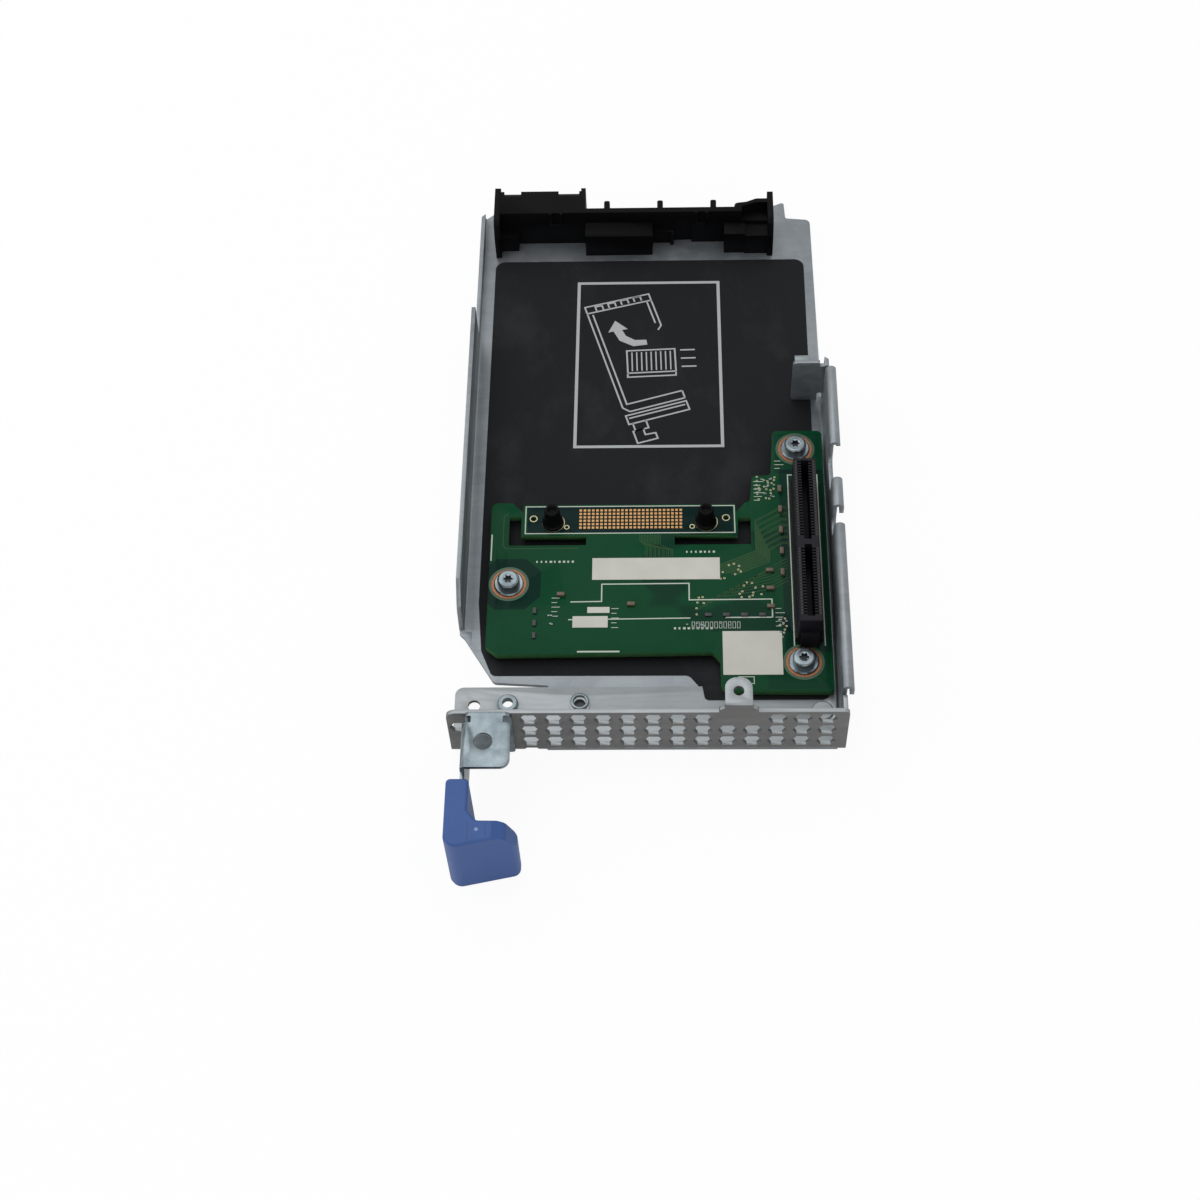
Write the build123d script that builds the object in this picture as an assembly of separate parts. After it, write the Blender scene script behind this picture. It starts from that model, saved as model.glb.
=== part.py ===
from build123d import *
import os

# Riser cage bracket for a slim server: a folded tray with a vented end plate, a small riser board
# with one card slot, a moulded card guide at the far end and a blue touch-point grip.
# Millimetres. X runs across the tray, Y from the vented plate to the guide, +Z is up.
# Working origin: middle of the vented plate, its front face, underside of the tray floor.

SHEET = 1.0
TRAY_WIDTH = 88.5
HALF = TRAY_WIDTH / 2
FLOOR_TOP = SHEET
TRAY_BACK_Y = 164.4
TRAY_MID_Y = 83.0
LEFT_WALL_HEIGHT = 14.0
LEFT_LIP_HEIGHT = 3.2
LEFT_WALL_FRONT_Y = 32.0
LEFT_WALL_BACK_Y = 120.0
RIGHT_WALL_HEIGHT = 16.5
RIGHT_WALL_FRONT_Y = 8.0
RIGHT_WALL_BACK_Y = 100.5
RIGHT_SCOOP_HEIGHT = 9.5
BEND_OUTER = 1.5
BEND_INNER = 0.5
HEM_OUTER = 1.3
HEM_LEG = 2.2
STOP_PLATE_LEFT_X = 35.5
STOP_PLATE_GAP = 0.5

FILM_THICKNESS = 0.2
FILM_BACK_Y = 146.0
FILM_STEP_GAP = 0.1
FILM_HOLE_RADIUS = 4.3

VENT_HEIGHT = 19.3
VENT_BEND_OUTER = 2.6
VENT_FLANGE_BACK_Y = 16.6
VENT_COLUMNS = 13
VENT_PITCH_X = 5.475
VENT_FIRST_X = -26.1
VENT_PITCH_Z = 4.9
VENT_FIRST_Z = 6.5
VENT_HOLE_WIDTH = 4.35
VENT_HOLE_HEIGHT = 3.9
EAR_X = 20.0
EAR_HALF_WIDTH = 4.3
EAR_TOP = 22.5
EAR_TAB_LENGTH = 7.0
EAR_TAB_HALF_WIDTH = 3.0
EAR_HOLE_RADIUS = 1.2
FLANGE_HOLE_X = -39.8
FLANGE_HOLE_Y = 11.8
FLANGE_HOLE_RADIUS = 1.4
CLINCH_X = -32.1
CLINCH_Y = 12.2
CLINCH_OUTER_RADIUS = 1.9
CLINCH_BORE_RADIUS = 1.25
CLINCH_CLEARANCE = 0.05
EMBOSS_X = -15.6
EMBOSS_Y = 11.9
EMBOSS_RADIUS = 2.4
EMBOSS_HEIGHT = 0.35
EMBOSS_HOLE_RADIUS = 1.3
RIVET_X = 39.6
RIVET_Y = 10.0
RIVET_RADIUS = 2.5
RIVET_SHANK_RADIUS = 1.4
RIVET_CLEARANCE = 0.05

BOARD_THICKNESS = 1.6
BOARD_TOP = 4.24
BOARD_BOTTOM = BOARD_TOP - BOARD_THICKNESS
SCREW_LEFT = (-32.8, 43.4)
SCREW_REAR = (35.8, 82.2)
SCREW_FRONT = (35.7, 21.7)
SCREW_THREAD_RADIUS = 1.5
SCREW_CLEARANCE = 0.15
SCREW_FLANGE_RADIUS = 3.5
SCREW_FLANGE_THICKNESS = 0.6
SCREW_HEAD_RADIUS = 2.65
SCREW_HEAD_HEIGHT = 1.9
SCREW_RECESS_RADIUS = 1.3
SCREW_RECESS_DEPTH = 1.2
STANDOFF_RADIUS = 3.0
PLATING_RADIUS = 4.1
PLATING_THICKNESS = 0.05

PAD_COLUMNS = 25
PAD_ROWS = 6
PAD_PITCH = 1.0
PAD_SIZE = 0.62
PAD_THICKNESS = 0.08
PAD_CENTRE = (-4.2, 61.8)
POST_LEFT = (-22.7, 60.8)
POST_RIGHT = (13.9, 60.8)
POST_FLANGE_RADIUS = 2.4
POST_BASE_RADIUS = 1.9
POST_TIP_RADIUS = 1.5
POST_HEIGHT = 7.4
POST_DIMPLE_RADIUS = 0.9

SLOT_X = 37.15
SLOT_WIDTH = 5.3
SLOT_BASE_WIDTH = 6.3
SLOT_BASE_HEIGHT = 2.0
SLOT_FRONT_Y = 26.5
SLOT_BACK_Y = 72.0
SLOT_TOP = 14.6
SLOT_GROOVE_WIDTH = 1.7
SLOT_GROOVE_FLOOR = 7.0
SLOT_PITCH = 0.8
SLOT_UPPER_COUNT = 27
SLOT_LOWER_COUNT = 23
SLOT_UPPER_FIRST_Y = 50.0
SLOT_LOWER_FIRST_Y = 28.4
SLOT_NOTCH_WIDTH = 0.46
SLOT_NOTCH_DEPTH = 0.95
SLOT_CONTACT_WIDTH = 0.34
SLOT_CONTACT_THICKNESS = 0.5
SLOT_CONTACT_TOP = 13.9

GUIDE_LEFT_X = -40.0
GUIDE_RIGHT_X = 32.4
GUIDE_TOP = 12.6
GUIDE_FRONT_Y = 152.6
GUIDE_SHELF_RIGHT_X = -16.3
GUIDE_SHELF_BACK_Y = 160.2
GUIDE_SPINE_BACK_Y = 154.1
GUIDE_RIB_BACK_Y = 156.6
GUIDE_RIB_PITCH = 13.8
GUIDE_RIB_FIRST_X = -10.7
GUIDE_RIB_WIDTH = 1.5
GUIDE_BASE = FLOOR_TOP

ZINC_SHEET = 1.0
ZINC_LEFT_X = -40.5
ZINC_RIGHT_X = -29.7
ZINC_TOP = 20.0
ZINC_BOTTOM = 3.4
ZINC_FRONT_Y = -13.6
ZINC_HOLE_X = -35.6
ZINC_HOLE_Y = -7.3
ZINC_HOLE_RADIUS = 2.1
GRIP_HEIGHT = 20.5
GRIP_TONGUE_CLEARANCE = 0.1

TO_REFERENCE = Location((0, -TRAY_MID_Y, 0))


def block(x0, x1, y0, y1, z0, z1):
    """A plain box between the given limits."""
    middle = ((x0 + x1) / 2, (y0 + y1) / 2, (z0 + z1) / 2)
    return Pos(*middle) * Box(x1 - x0, y1 - y0, z1 - z0)


def upright(x, y, radius, z0, z1):
    """A vertical round bar."""
    return Pos(x, y, (z0 + z1) / 2) * Cylinder(radius, z1 - z0)


def rounded_face(corners):
    """A flat outline from (u, v, corner radius) triples."""
    face = make_face(Polyline(*[(u, v) for u, v, radius in corners], close=True))
    for u, v, radius in corners:
        if radius > 0:
            corner = face.vertices().sort_by_distance((u, v, 0))[0]
            face = fillet(corner, radius)
    return face


def plan(corners, z0, z1):
    """An outline seen from above, given thickness."""
    return Pos(0, 0, z0) * extrude(rounded_face(corners), z1 - z0)


def side(corners, x0, x1):
    """An outline of (y, z) corners, seen from the right, run along X."""
    plane = Plane(origin=(x0, 0, 0), x_dir=(0, 1, 0), z_dir=(1, 0, 0))
    return extrude(plane * rounded_face(corners), x1 - x0)


def front(corners, y0, y1):
    """An outline of (x, z) corners, seen from the front, run along Y."""
    plane = Plane(origin=(0, y1, 0), x_dir=(1, 0, 0), z_dir=(0, -1, 0))
    return extrude(plane * rounded_face(corners), y1 - y0)


def hex_corners(x, z):
    """A vent hole with its points to the left and right."""
    half_w = VENT_HOLE_WIDTH / 2
    half_h = VENT_HOLE_HEIGHT / 2
    shoulder = half_w * 0.52
    return [
        (x - half_w, z, 0),
        (x - shoulder, z - half_h, 0),
        (x + shoulder, z - half_h, 0),
        (x + half_w, z, 0),
        (x + shoulder, z + half_h, 0),
        (x - shoulder, z + half_h, 0),
    ]


def tray_section():
    """The folded tray seen from the front, both walls at full height."""
    outer = [
        (-HALF, LEFT_WALL_HEIGHT, 0),
        (-HALF, 0, BEND_OUTER),
        (HALF, 0, BEND_OUTER),
        (HALF, RIGHT_WALL_HEIGHT - HEM_OUTER, 0),
        (HALF - SHEET, RIGHT_WALL_HEIGHT - HEM_OUTER, 0),
        (HALF - SHEET, SHEET, BEND_INNER),
        (SHEET - HALF, SHEET, BEND_INNER),
        (SHEET - HALF, LEFT_WALL_HEIGHT, 0),
    ]
    return front(outer, 0, 168)


def tray_plan():
    """The tray outline seen from above, with the front tongue and the stepped back edge."""
    return plan(
        [
            (-22.8, 1.3, 0),
            (-22.8, 17.6, 0.8),
            (-35.6, 18.4, 1.5),
            (-43.0, 30.6, 0.8),
            (-HALF - 1, 32.2, 0),
            (-HALF - 1, 159.2, 0),
            (-43.6, 160.9, 0.8),
            (-40.0, 163.9, 0.8),
            (32.3, 164.6, 1.0),
            (35.9, 166.2, 0.6),
            (36.2, 160.5, 0.5),
            (42.6, 159.8, 1.5),
            (43.2, 102.2, 0),
            (HALF + 1, RIGHT_WALL_BACK_Y, 0),
            (HALF + 1, RIGHT_WALL_FRONT_Y, 0),
            (HALF - SHEET - BEND_INNER - 0.1, RIGHT_WALL_FRONT_Y, 0),
            (HALF - SHEET - BEND_INNER - 0.1, 1.3, 0),
        ],
        -1,
        30,
    )


def left_wall_cut():
    """What is taken away above the left wall's low lip and its curved front end."""
    back = side(
        [
            (LEFT_WALL_BACK_Y, LEFT_LIP_HEIGHT, 1.0),
            (LEFT_WALL_BACK_Y, 30, 0),
            (170, 30, 0),
            (170, LEFT_LIP_HEIGHT, 0),
        ],
        -HALF - 2,
        -HALF + 3,
    )
    nose = side(
        [
            (28, 0.9, 0),
            (LEFT_WALL_FRONT_Y + 0.6, 0.9, 0.5),
            (LEFT_WALL_FRONT_Y + 1.6, 9.0, 3.0),
            (LEFT_WALL_FRONT_Y + 7.0, LEFT_WALL_HEIGHT + 0.2, 0),
            (28, LEFT_WALL_HEIGHT + 0.2, 0),
        ],
        -HALF - 2,
        -HALF + 3,
    )
    return [back, nose]


def right_wall_scoop(y0, y1, radius):
    """A gap in the right wall's top edge between two hemmed lengths."""
    return side(
        [
            (y0, 30, 0),
            (y0, RIGHT_SCOOP_HEIGHT, radius),
            (y1, RIGHT_SCOOP_HEIGHT, radius),
            (y1, 30, 0),
        ],
        HALF - 3,
        HALF + 5,
    )


def hem(y0, y1):
    """One outward-rolled length of the right wall's top edge, as a solid curl with a hollow."""
    centre_x = HALF - SHEET + HEM_OUTER
    centre_z = RIGHT_WALL_HEIGHT - HEM_OUTER
    length = y1 - y0
    ring = Rot(90, 0, 0) * Cylinder(HEM_OUTER, length)
    ring -= Rot(90, 0, 0) * Cylinder(HEM_OUTER - SHEET, length + 2)
    ring -= Pos(0, 0, -5) * Box(10, length + 2, 10)
    leg = Pos(HEM_OUTER - SHEET / 2, 0, -HEM_LEG / 2) * Box(SHEET, length, HEM_LEG)
    wall = Pos(-HEM_OUTER + SHEET / 2, 0, -HEM_LEG / 2) * Box(SHEET, length, HEM_LEG)
    return Pos(centre_x, (y0 + y1) / 2, centre_z) * (ring + leg + wall)


def stop_plate():
    """The right wall's far end, folded inwards as an upright plate with a curled ear."""
    y0 = RIGHT_WALL_BACK_Y - SHEET
    y1 = RIGHT_WALL_BACK_Y
    plate = front(
        [
            (STOP_PLATE_LEFT_X, SHEET + STOP_PLATE_GAP, 0.8),
            (HALF - SHEET - 1.2, SHEET + STOP_PLATE_GAP, 0),
            (HALF - SHEET - 1.2, 4.2, 0),
            (HALF - SHEET + 0.1, 4.2, 0),
            (HALF - SHEET + 0.1, 14.6, 0),
            (HALF - SHEET - 1.2, 14.6, 0),
            (HALF - SHEET - 1.2, 16.0, 0.5),
            (STOP_PLATE_LEFT_X, 16.0, 1.2),
        ],
        y0,
        y1,
    )
    ear = Pos(STOP_PLATE_LEFT_X + 2.2, y1 + 0.4, 15.0) * (Rot(0, 90, 0) * Cylinder(1.4, 3.6))
    ear -= Pos(STOP_PLATE_LEFT_X + 2.2, y1 + 0.4, 15.0) * (Rot(0, 90, 0) * Cylinder(0.6, 5.0))
    ear -= block(30, 45, y1 - 5, y1 + 5, 10, 15.0)
    return plate + ear


def make_tray():
    """The galvanised floor with its two side walls, one folded piece."""
    tray = tray_section() & tray_plan()
    for cut in left_wall_cut():
        tray -= cut
    tray -= right_wall_scoop(52.0, 57.0, 2.0)
    tray -= right_wall_scoop(65.0, 75.0, 2.0)
    tray -= right_wall_scoop(98.2, RIGHT_WALL_BACK_Y - SHEET - 0.2, 0.4)
    tray += hem(RIGHT_WALL_FRONT_Y, 52.0)
    tray += hem(57.0, 65.0)
    tray += hem(75.0, 98.2)
    tray -= side([(75, 12.2, 0), (75, 15.0, 0), (78.5, 12.2, 0)], HALF, HALF + 3)
    tray += stop_plate()
    tray -= front(
        [
            (HALF - SHEET - 1.4, SHEET - 0.01, 0),
            (HALF + 1, SHEET - 0.01, 0),
            (HALF + 1, 4.0, 0),
            (HALF - SHEET - 1.4, 4.0, 0),
        ],
        RIGHT_WALL_BACK_Y - 2.2,
        RIGHT_WALL_BACK_Y + 0.1,
    )
    for name_x in (CLINCH_X, EMBOSS_X):
        tray -= upright(name_x, CLINCH_Y, 2.6, -1, 2)
    tray -= upright(RIVET_X, RIVET_Y, RIVET_SHANK_RADIUS + RIVET_CLEARANCE, -1, 2)
    return tray


def film_hole(spot):
    """Clearance in the film around one standoff."""
    return upright(spot[0], spot[1], FILM_HOLE_RADIUS, 0, 3)


def make_insulator_sheet():
    """The black film over the tray floor, stepping up onto the vented piece's flange."""
    step_y = VENT_FLANGE_BACK_Y + FILM_STEP_GAP
    low = plan(
        [
            (-38.9, 27.0, 1.0),
            (-36.2, 20.2, 1.5),
            (9.4, 20.1, 2.0),
            (12.0, step_y, 0),
            (41.6, step_y, 0),
            (40.4, 30.0, 0),
            (40.4, FILM_BACK_Y, 2.5),
            (-40.0, FILM_BACK_Y, 2.5),
            (-40.0, 40.0, 0),
        ],
        FLOOR_TOP,
        FLOOR_TOP + FILM_THICKNESS,
    )
    riser = block(12.4, 41.4, step_y, step_y + FILM_THICKNESS, FLOOR_TOP, 2.0 + FILM_THICKNESS)
    high = plan(
        [
            (13.0, 13.0, 1.2),
            (41.4, 13.0, 1.8),
            (41.4, step_y + FILM_THICKNESS, 0),
            (12.4, step_y + FILM_THICKNESS, 0),
        ],
        2.0,
        2.0 + FILM_THICKNESS,
    )
    film = low + riser + high
    for spot in (SCREW_LEFT, SCREW_REAR, SCREW_FRONT):
        film -= film_hole(spot)
    return film


def vent_columns():
    """X of every column of vent holes."""
    return [VENT_FIRST_X + VENT_PITCH_X * step for step in range(VENT_COLUMNS)]


def vent_holes():
    """The three full rows of holes and the fourth one that scallops the bend."""
    holes = []
    for column, x in enumerate(vent_columns()):
        for row in range(3):
            if row == 2 and column in (8, 9):
                continue
            z = VENT_FIRST_Z + VENT_PITCH_Z * row
            holes.append(front(hex_corners(x, z), -1, 2))
        z = VENT_FIRST_Z - VENT_PITCH_Z
        holes.append(front(hex_corners(x, z), -1, 1.9))
    holes.append(front(hex_corners(-41.6, 13.0), -1, 2))
    return holes


def vent_section():
    """The upright plate, its bottom bend and the flange that lies on the tray's tongue."""
    return side(
        [
            (0, VENT_HEIGHT, 0),
            (0, FLOOR_TOP, VENT_BEND_OUTER),
            (VENT_FLANGE_BACK_Y, FLOOR_TOP, 0),
            (VENT_FLANGE_BACK_Y, FLOOR_TOP + SHEET, 0),
            (SHEET, FLOOR_TOP + SHEET, VENT_BEND_OUTER - SHEET),
            (SHEET, VENT_HEIGHT, 0),
        ],
        -HALF,
        HALF,
    )


def vent_ear():
    """The raised lug with its screw hole and the tab folded back over the board edge."""
    lug = front(
        [
            (EAR_X - EAR_HALF_WIDTH, VENT_HEIGHT - 1, 0),
            (EAR_X + EAR_HALF_WIDTH, VENT_HEIGHT - 1, 0),
            (EAR_X + EAR_HALF_WIDTH, 20.2, 0.8),
            (EAR_X + EAR_TAB_HALF_WIDTH, 21.2, 0.5),
            (EAR_X + EAR_TAB_HALF_WIDTH, EAR_TOP, 0),
            (EAR_X - EAR_TAB_HALF_WIDTH, EAR_TOP, 0),
            (EAR_X - EAR_TAB_HALF_WIDTH, 21.2, 0.5),
            (EAR_X - EAR_HALF_WIDTH, 20.2, 0.8),
        ],
        0,
        SHEET,
    )
    tab = plan(
        [
            (EAR_X - EAR_TAB_HALF_WIDTH, 0.0, 0),
            (EAR_X + EAR_TAB_HALF_WIDTH, 0.0, 0),
            (EAR_X + EAR_TAB_HALF_WIDTH, EAR_TAB_LENGTH, 2.6),
            (EAR_X - EAR_TAB_HALF_WIDTH, EAR_TAB_LENGTH, 2.6),
        ],
        EAR_TOP - SHEET,
        EAR_TOP,
    )
    ear = lug + tab
    top_edges = ear.edges().filter_by(Axis.X).group_by(Axis.Y)[0]
    ear = fillet(top_edges.sort_by(Axis.Z)[-1], 0.8)
    return ear - upright(EAR_X, 3.6, EAR_HOLE_RADIUS, 20, 24)


def vent_return():
    """The short side return at the plate's right end, in line with the tray's wall."""
    return side(
        [
            (0.2, 3.8, 0),
            (7.4, 3.8, 1.6),
            (7.4, 15.0, 1.6),
            (0.2, 15.0, 0),
        ],
        HALF - SHEET,
        HALF,
    )


def make_vent_bracket():
    """The vented end plate with its flange, ear and side return, one folded piece."""
    piece = vent_section()
    piece &= front(
        [
            (-HALF, 0, 0),
            (HALF, 0, 0),
            (HALF, VENT_HEIGHT, 1.2),
            (-HALF, VENT_HEIGHT, 2.2),
        ],
        -1,
        30,
    )
    piece &= plan(
        [
            (-HALF, -1, 0),
            (HALF, -1, 0),
            (HALF, VENT_FLANGE_BACK_Y, 1.0),
            (-HALF, VENT_FLANGE_BACK_Y, 2.0),
        ],
        0,
        30,
    )
    piece -= block(HALF - SHEET - BEND_INNER - 0.1, HALF + 1, RIGHT_WALL_FRONT_Y - 0.6, 20, 0, 5)
    piece += vent_return()
    piece += vent_ear()
    piece -= vent_holes()
    piece += upright(EMBOSS_X, EMBOSS_Y, EMBOSS_RADIUS, 1.6, 2.0 + EMBOSS_HEIGHT)
    piece -= upright(EMBOSS_X, EMBOSS_Y, EMBOSS_HOLE_RADIUS, 0, 3)
    piece -= upright(FLANGE_HOLE_X, FLANGE_HOLE_Y, FLANGE_HOLE_RADIUS, 0, 3)
    piece -= upright(CLINCH_X, CLINCH_Y, CLINCH_OUTER_RADIUS + CLINCH_CLEARANCE, 0, 3)
    piece -= upright(RIVET_X, RIVET_Y, RIVET_SHANK_RADIUS + RIVET_CLEARANCE, 0, 3)
    return piece


def make_clinch_nut():
    """The small clinched nut in the flange, its collar standing proud on the upper side."""
    body = upright(CLINCH_X, CLINCH_Y, CLINCH_OUTER_RADIUS, 1.0, 2.0)
    collar = upright(CLINCH_X, CLINCH_Y, CLINCH_OUTER_RADIUS + 0.4, 2.0, 2.7)
    collar = chamfer(collar.edges().group_by(Axis.Z)[-1], 0.25)
    return body + collar - upright(CLINCH_X, CLINCH_Y, CLINCH_BORE_RADIUS, 0, 4)


def make_flange_rivet():
    """The flush rivet that joins the flange to the tray's tongue."""
    head = upright(RIVET_X, RIVET_Y, RIVET_RADIUS, 2.0, 2.5)
    head = fillet(head.edges().group_by(Axis.Z)[-1], 0.35)
    return head + upright(RIVET_X, RIVET_Y, RIVET_SHANK_RADIUS, 0.1, 2.0)


def board_outline(z0, z1):
    """The riser board seen from above, without its slots and holes."""
    return plan(
        [
            (-35.0, 23.9, 1.5),
            (14.9, 24.4, 1.0),
            (16.6, 22.2, 0.6),
            (16.7, 14.1, 1.8),
            (42.4, 13.8, 1.2),
            (42.4, 87.7, 1.2),
            (30.4, 87.7, 1.2),
            (29.6, 74.4, 1.0),
            (25.1, 74.2, 1.0),
            (24.4, 66.6, 1.0),
            (23.2, 66.4, 0.4),
            (21.1, 63.6, 0),
            (20.9, 66.0, 0),
            (-30.0, 66.0, 0),
            (-30.1, 63.8, 0),
            (-32.6, 66.6, 0.6),
            (-37.7, 66.7, 1.6),
            (-37.7, 26.2, 1.2),
        ],
        z0,
        z1,
    )


def board_slots():
    """The two L-shaped slots that free the contact strip from the rest of the board."""
    left = block(-31.6, -14.8, 54.3, 57.0, 0, 9) + block(-33.3, -30.4, 54.3, 62.6, 0, 9)
    right = block(6.3, 22.8, 54.3, 57.0, 0, 9) + block(21.4, 24.5, 54.3, 62.0, 0, 9)
    return [left, right]


def make_riser_board():
    """The green riser board with its slots and screw holes."""
    board = board_outline(BOARD_BOTTOM, BOARD_TOP)
    board -= board_slots()
    for spot in (SCREW_LEFT, SCREW_REAR, SCREW_FRONT):
        board -= upright(spot[0], spot[1], SCREW_THREAD_RADIUS + SCREW_CLEARANCE, 0, 9)
    for x, y, radius in ((-27.5, 62.0, 0.7), (-19.5, 59.5, 0.4), (10.5, 59.5, 0.4), (18.6, 62.0, 0.7)):
        board -= upright(x, y, radius, 0, 9)
    return board


def make_plating(spot):
    """The bare copper ring around one screw hole."""
    ring = upright(spot[0], spot[1], PLATING_RADIUS, BOARD_TOP, BOARD_TOP + PLATING_THICKNESS)
    ring -= upright(spot[0], spot[1], SCREW_FLANGE_RADIUS + 0.05, 0, 9)
    return ring - block(30, 45, SLOT_FRONT_Y - 1.05, 60, 0, 9)


def make_screw(spot):
    """A flanged machine screw seated on the board, with a plain drive recess."""
    x, y = spot
    flange_top = BOARD_TOP + SCREW_FLANGE_THICKNESS
    head_top = flange_top + SCREW_HEAD_HEIGHT
    shank = upright(x, y, SCREW_THREAD_RADIUS, FLOOR_TOP + 0.3, BOARD_TOP)
    flange = upright(x, y, SCREW_FLANGE_RADIUS, BOARD_TOP, flange_top)
    flange = chamfer(flange.edges().group_by(Axis.Z)[-1], 0.25)
    head = upright(x, y, SCREW_HEAD_RADIUS, flange_top, head_top)
    head = fillet(head.edges().group_by(Axis.Z)[-1], 0.7)
    recess = upright(x, y, SCREW_RECESS_RADIUS, head_top - SCREW_RECESS_DEPTH, head_top + 1)
    return shank + flange + head - recess


def make_standoff(spot):
    """A pressed standoff between the tray floor and the board."""
    post = upright(spot[0], spot[1], STANDOFF_RADIUS, FLOOR_TOP, BOARD_BOTTOM)
    return post - upright(spot[0], spot[1], SCREW_THREAD_RADIUS + SCREW_CLEARANCE, 0, 9)


def make_contact_pads():
    """The grid of gold pads on the strip, one thin plate each."""
    pads = []
    first_x = PAD_CENTRE[0] - PAD_PITCH * (PAD_COLUMNS - 1) / 2
    first_y = PAD_CENTRE[1] - PAD_PITCH * (PAD_ROWS - 1) / 2
    for column in range(PAD_COLUMNS):
        for row in range(PAD_ROWS):
            x = first_x + PAD_PITCH * column
            y = first_y + PAD_PITCH * row
            half = PAD_SIZE / 2
            pads.append(block(x - half, x + half, y - half, y + half, BOARD_TOP, BOARD_TOP + PAD_THICKNESS))
    return Compound(children=pads)


def make_guide_post(spot):
    """A black alignment post with a foot and a dimpled tip."""
    x, y = spot
    foot = upright(x, y, POST_FLANGE_RADIUS, BOARD_TOP, BOARD_TOP + 0.8)
    foot = chamfer(foot.edges().group_by(Axis.Z)[-1], 0.3)
    stem_height = POST_HEIGHT - 0.8
    stem = Cone(POST_BASE_RADIUS, POST_TIP_RADIUS, stem_height)
    stem = Pos(x, y, BOARD_TOP + 0.8 + stem_height / 2) * stem
    stem = chamfer(stem.edges().group_by(Axis.Z)[-1], 0.3)
    top = BOARD_TOP + POST_HEIGHT
    return foot + stem - upright(x, y, POST_DIMPLE_RADIUS, top - 1.0, top + 1)


def slot_contact_rows():
    """Y of every contact pair in the card slot."""
    lower = [SLOT_LOWER_FIRST_Y + SLOT_PITCH * step for step in range(SLOT_LOWER_COUNT)]
    upper = [SLOT_UPPER_FIRST_Y + SLOT_PITCH * step for step in range(SLOT_UPPER_COUNT)]
    return lower + upper


def make_slot_housing():
    """The card slot's moulded body with its groove, key bar and contact notches."""
    half = SLOT_WIDTH / 2
    base_half = SLOT_BASE_WIDTH / 2
    body = block(SLOT_X - half, SLOT_X + half, SLOT_FRONT_Y, SLOT_BACK_Y, BOARD_TOP, SLOT_TOP)
    body = chamfer(body.edges().group_by(Axis.Z)[-1], 0.25)
    base_top = BOARD_TOP + SLOT_BASE_HEIGHT
    base = block(SLOT_X - base_half, SLOT_X + base_half, SLOT_FRONT_Y + 0.6, SLOT_BACK_Y - 0.6, BOARD_TOP, base_top)
    base = chamfer(base.edges().group_by(Axis.Z)[-1], 0.3)
    lug = block(SLOT_X - 2.1, SLOT_X + 2.1, SLOT_FRONT_Y - 1.0, SLOT_FRONT_Y + 0.1, BOARD_TOP, BOARD_TOP + 5.5)
    body += base + lug
    groove_half = SLOT_GROOVE_WIDTH / 2
    key_y = (SLOT_LOWER_FIRST_Y + SLOT_PITCH * (SLOT_LOWER_COUNT - 1) + SLOT_UPPER_FIRST_Y) / 2
    lower_end = SLOT_LOWER_FIRST_Y - 0.7
    upper_end = SLOT_UPPER_FIRST_Y + SLOT_PITCH * (SLOT_UPPER_COUNT - 1) + 0.4
    cuts = []
    x0 = SLOT_X - groove_half
    x1 = SLOT_X + groove_half
    cuts.append(block(x0, x1, lower_end, key_y - 0.75, SLOT_GROOVE_FLOOR, SLOT_TOP + 1))
    cuts.append(block(x0, x1, key_y + 0.75, upper_end, SLOT_GROOVE_FLOOR, SLOT_TOP + 1))
    reach = groove_half + SLOT_NOTCH_DEPTH
    for y in slot_contact_rows():
        y0 = y - SLOT_NOTCH_WIDTH / 2
        y1 = y + SLOT_NOTCH_WIDTH / 2
        cuts.append(block(SLOT_X - reach, SLOT_X + reach, y0, y1, SLOT_GROOVE_FLOOR, SLOT_TOP + 1))
    return body - cuts


def make_slot_contacts():
    """The sprung contacts standing in the slot's notches, one small blade each."""
    blades = []
    outer = SLOT_GROOVE_WIDTH / 2 + SLOT_NOTCH_DEPTH - 0.1
    inner = outer - SLOT_CONTACT_THICKNESS
    half = SLOT_CONTACT_WIDTH / 2
    for y in slot_contact_rows():
        for sign in (-1, 1):
            near = SLOT_X + sign * inner
            far = SLOT_X + sign * outer
            low = min(near, far)
            high = max(near, far)
            blades.append(block(low, high, y - half, y + half, SLOT_GROOVE_FLOOR, SLOT_CONTACT_TOP))
    return Compound(children=blades)


def guide_spine():
    """The upright wall of the card guide, with its top ledge."""
    wall = block(GUIDE_LEFT_X + 0.5, GUIDE_RIGHT_X - 0.5, GUIDE_FRONT_Y, GUIDE_SPINE_BACK_Y, GUIDE_BASE, GUIDE_TOP)
    wall -= block(6.6, 11.3, GUIDE_FRONT_Y - 1, GUIDE_FRONT_Y + 0.8, GUIDE_BASE - 1, GUIDE_TOP - 3.0)
    return wall


def guide_shelf():
    """The deep box section at the guide's left, open underneath, with its notched back lip."""
    back = GUIDE_SHELF_BACK_Y
    top = block(GUIDE_LEFT_X + 0.5, GUIDE_SHELF_RIGHT_X, GUIDE_FRONT_Y, back, GUIDE_TOP - 1.4, GUIDE_TOP)
    lip = block(GUIDE_LEFT_X + 0.5, GUIDE_SHELF_RIGHT_X, back - 1.2, back, 5.0, GUIDE_TOP)
    end = block(GUIDE_SHELF_RIGHT_X - 1.2, GUIDE_SHELF_RIGHT_X, GUIDE_FRONT_Y, back + 1.0, GUIDE_BASE, GUIDE_TOP)
    shelf = top + lip + end
    for x0, x1 in ((-37.6, -33.2), (-23.4, -18.0)):
        shelf -= side(
            [(back - 1.5, GUIDE_TOP + 1, 0), (back + 1, GUIDE_TOP + 1, 0), (back + 1, 11.2, 0), (back - 1.5, 12.1, 0)],
            x0,
            x1,
        )
    return shelf


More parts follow.
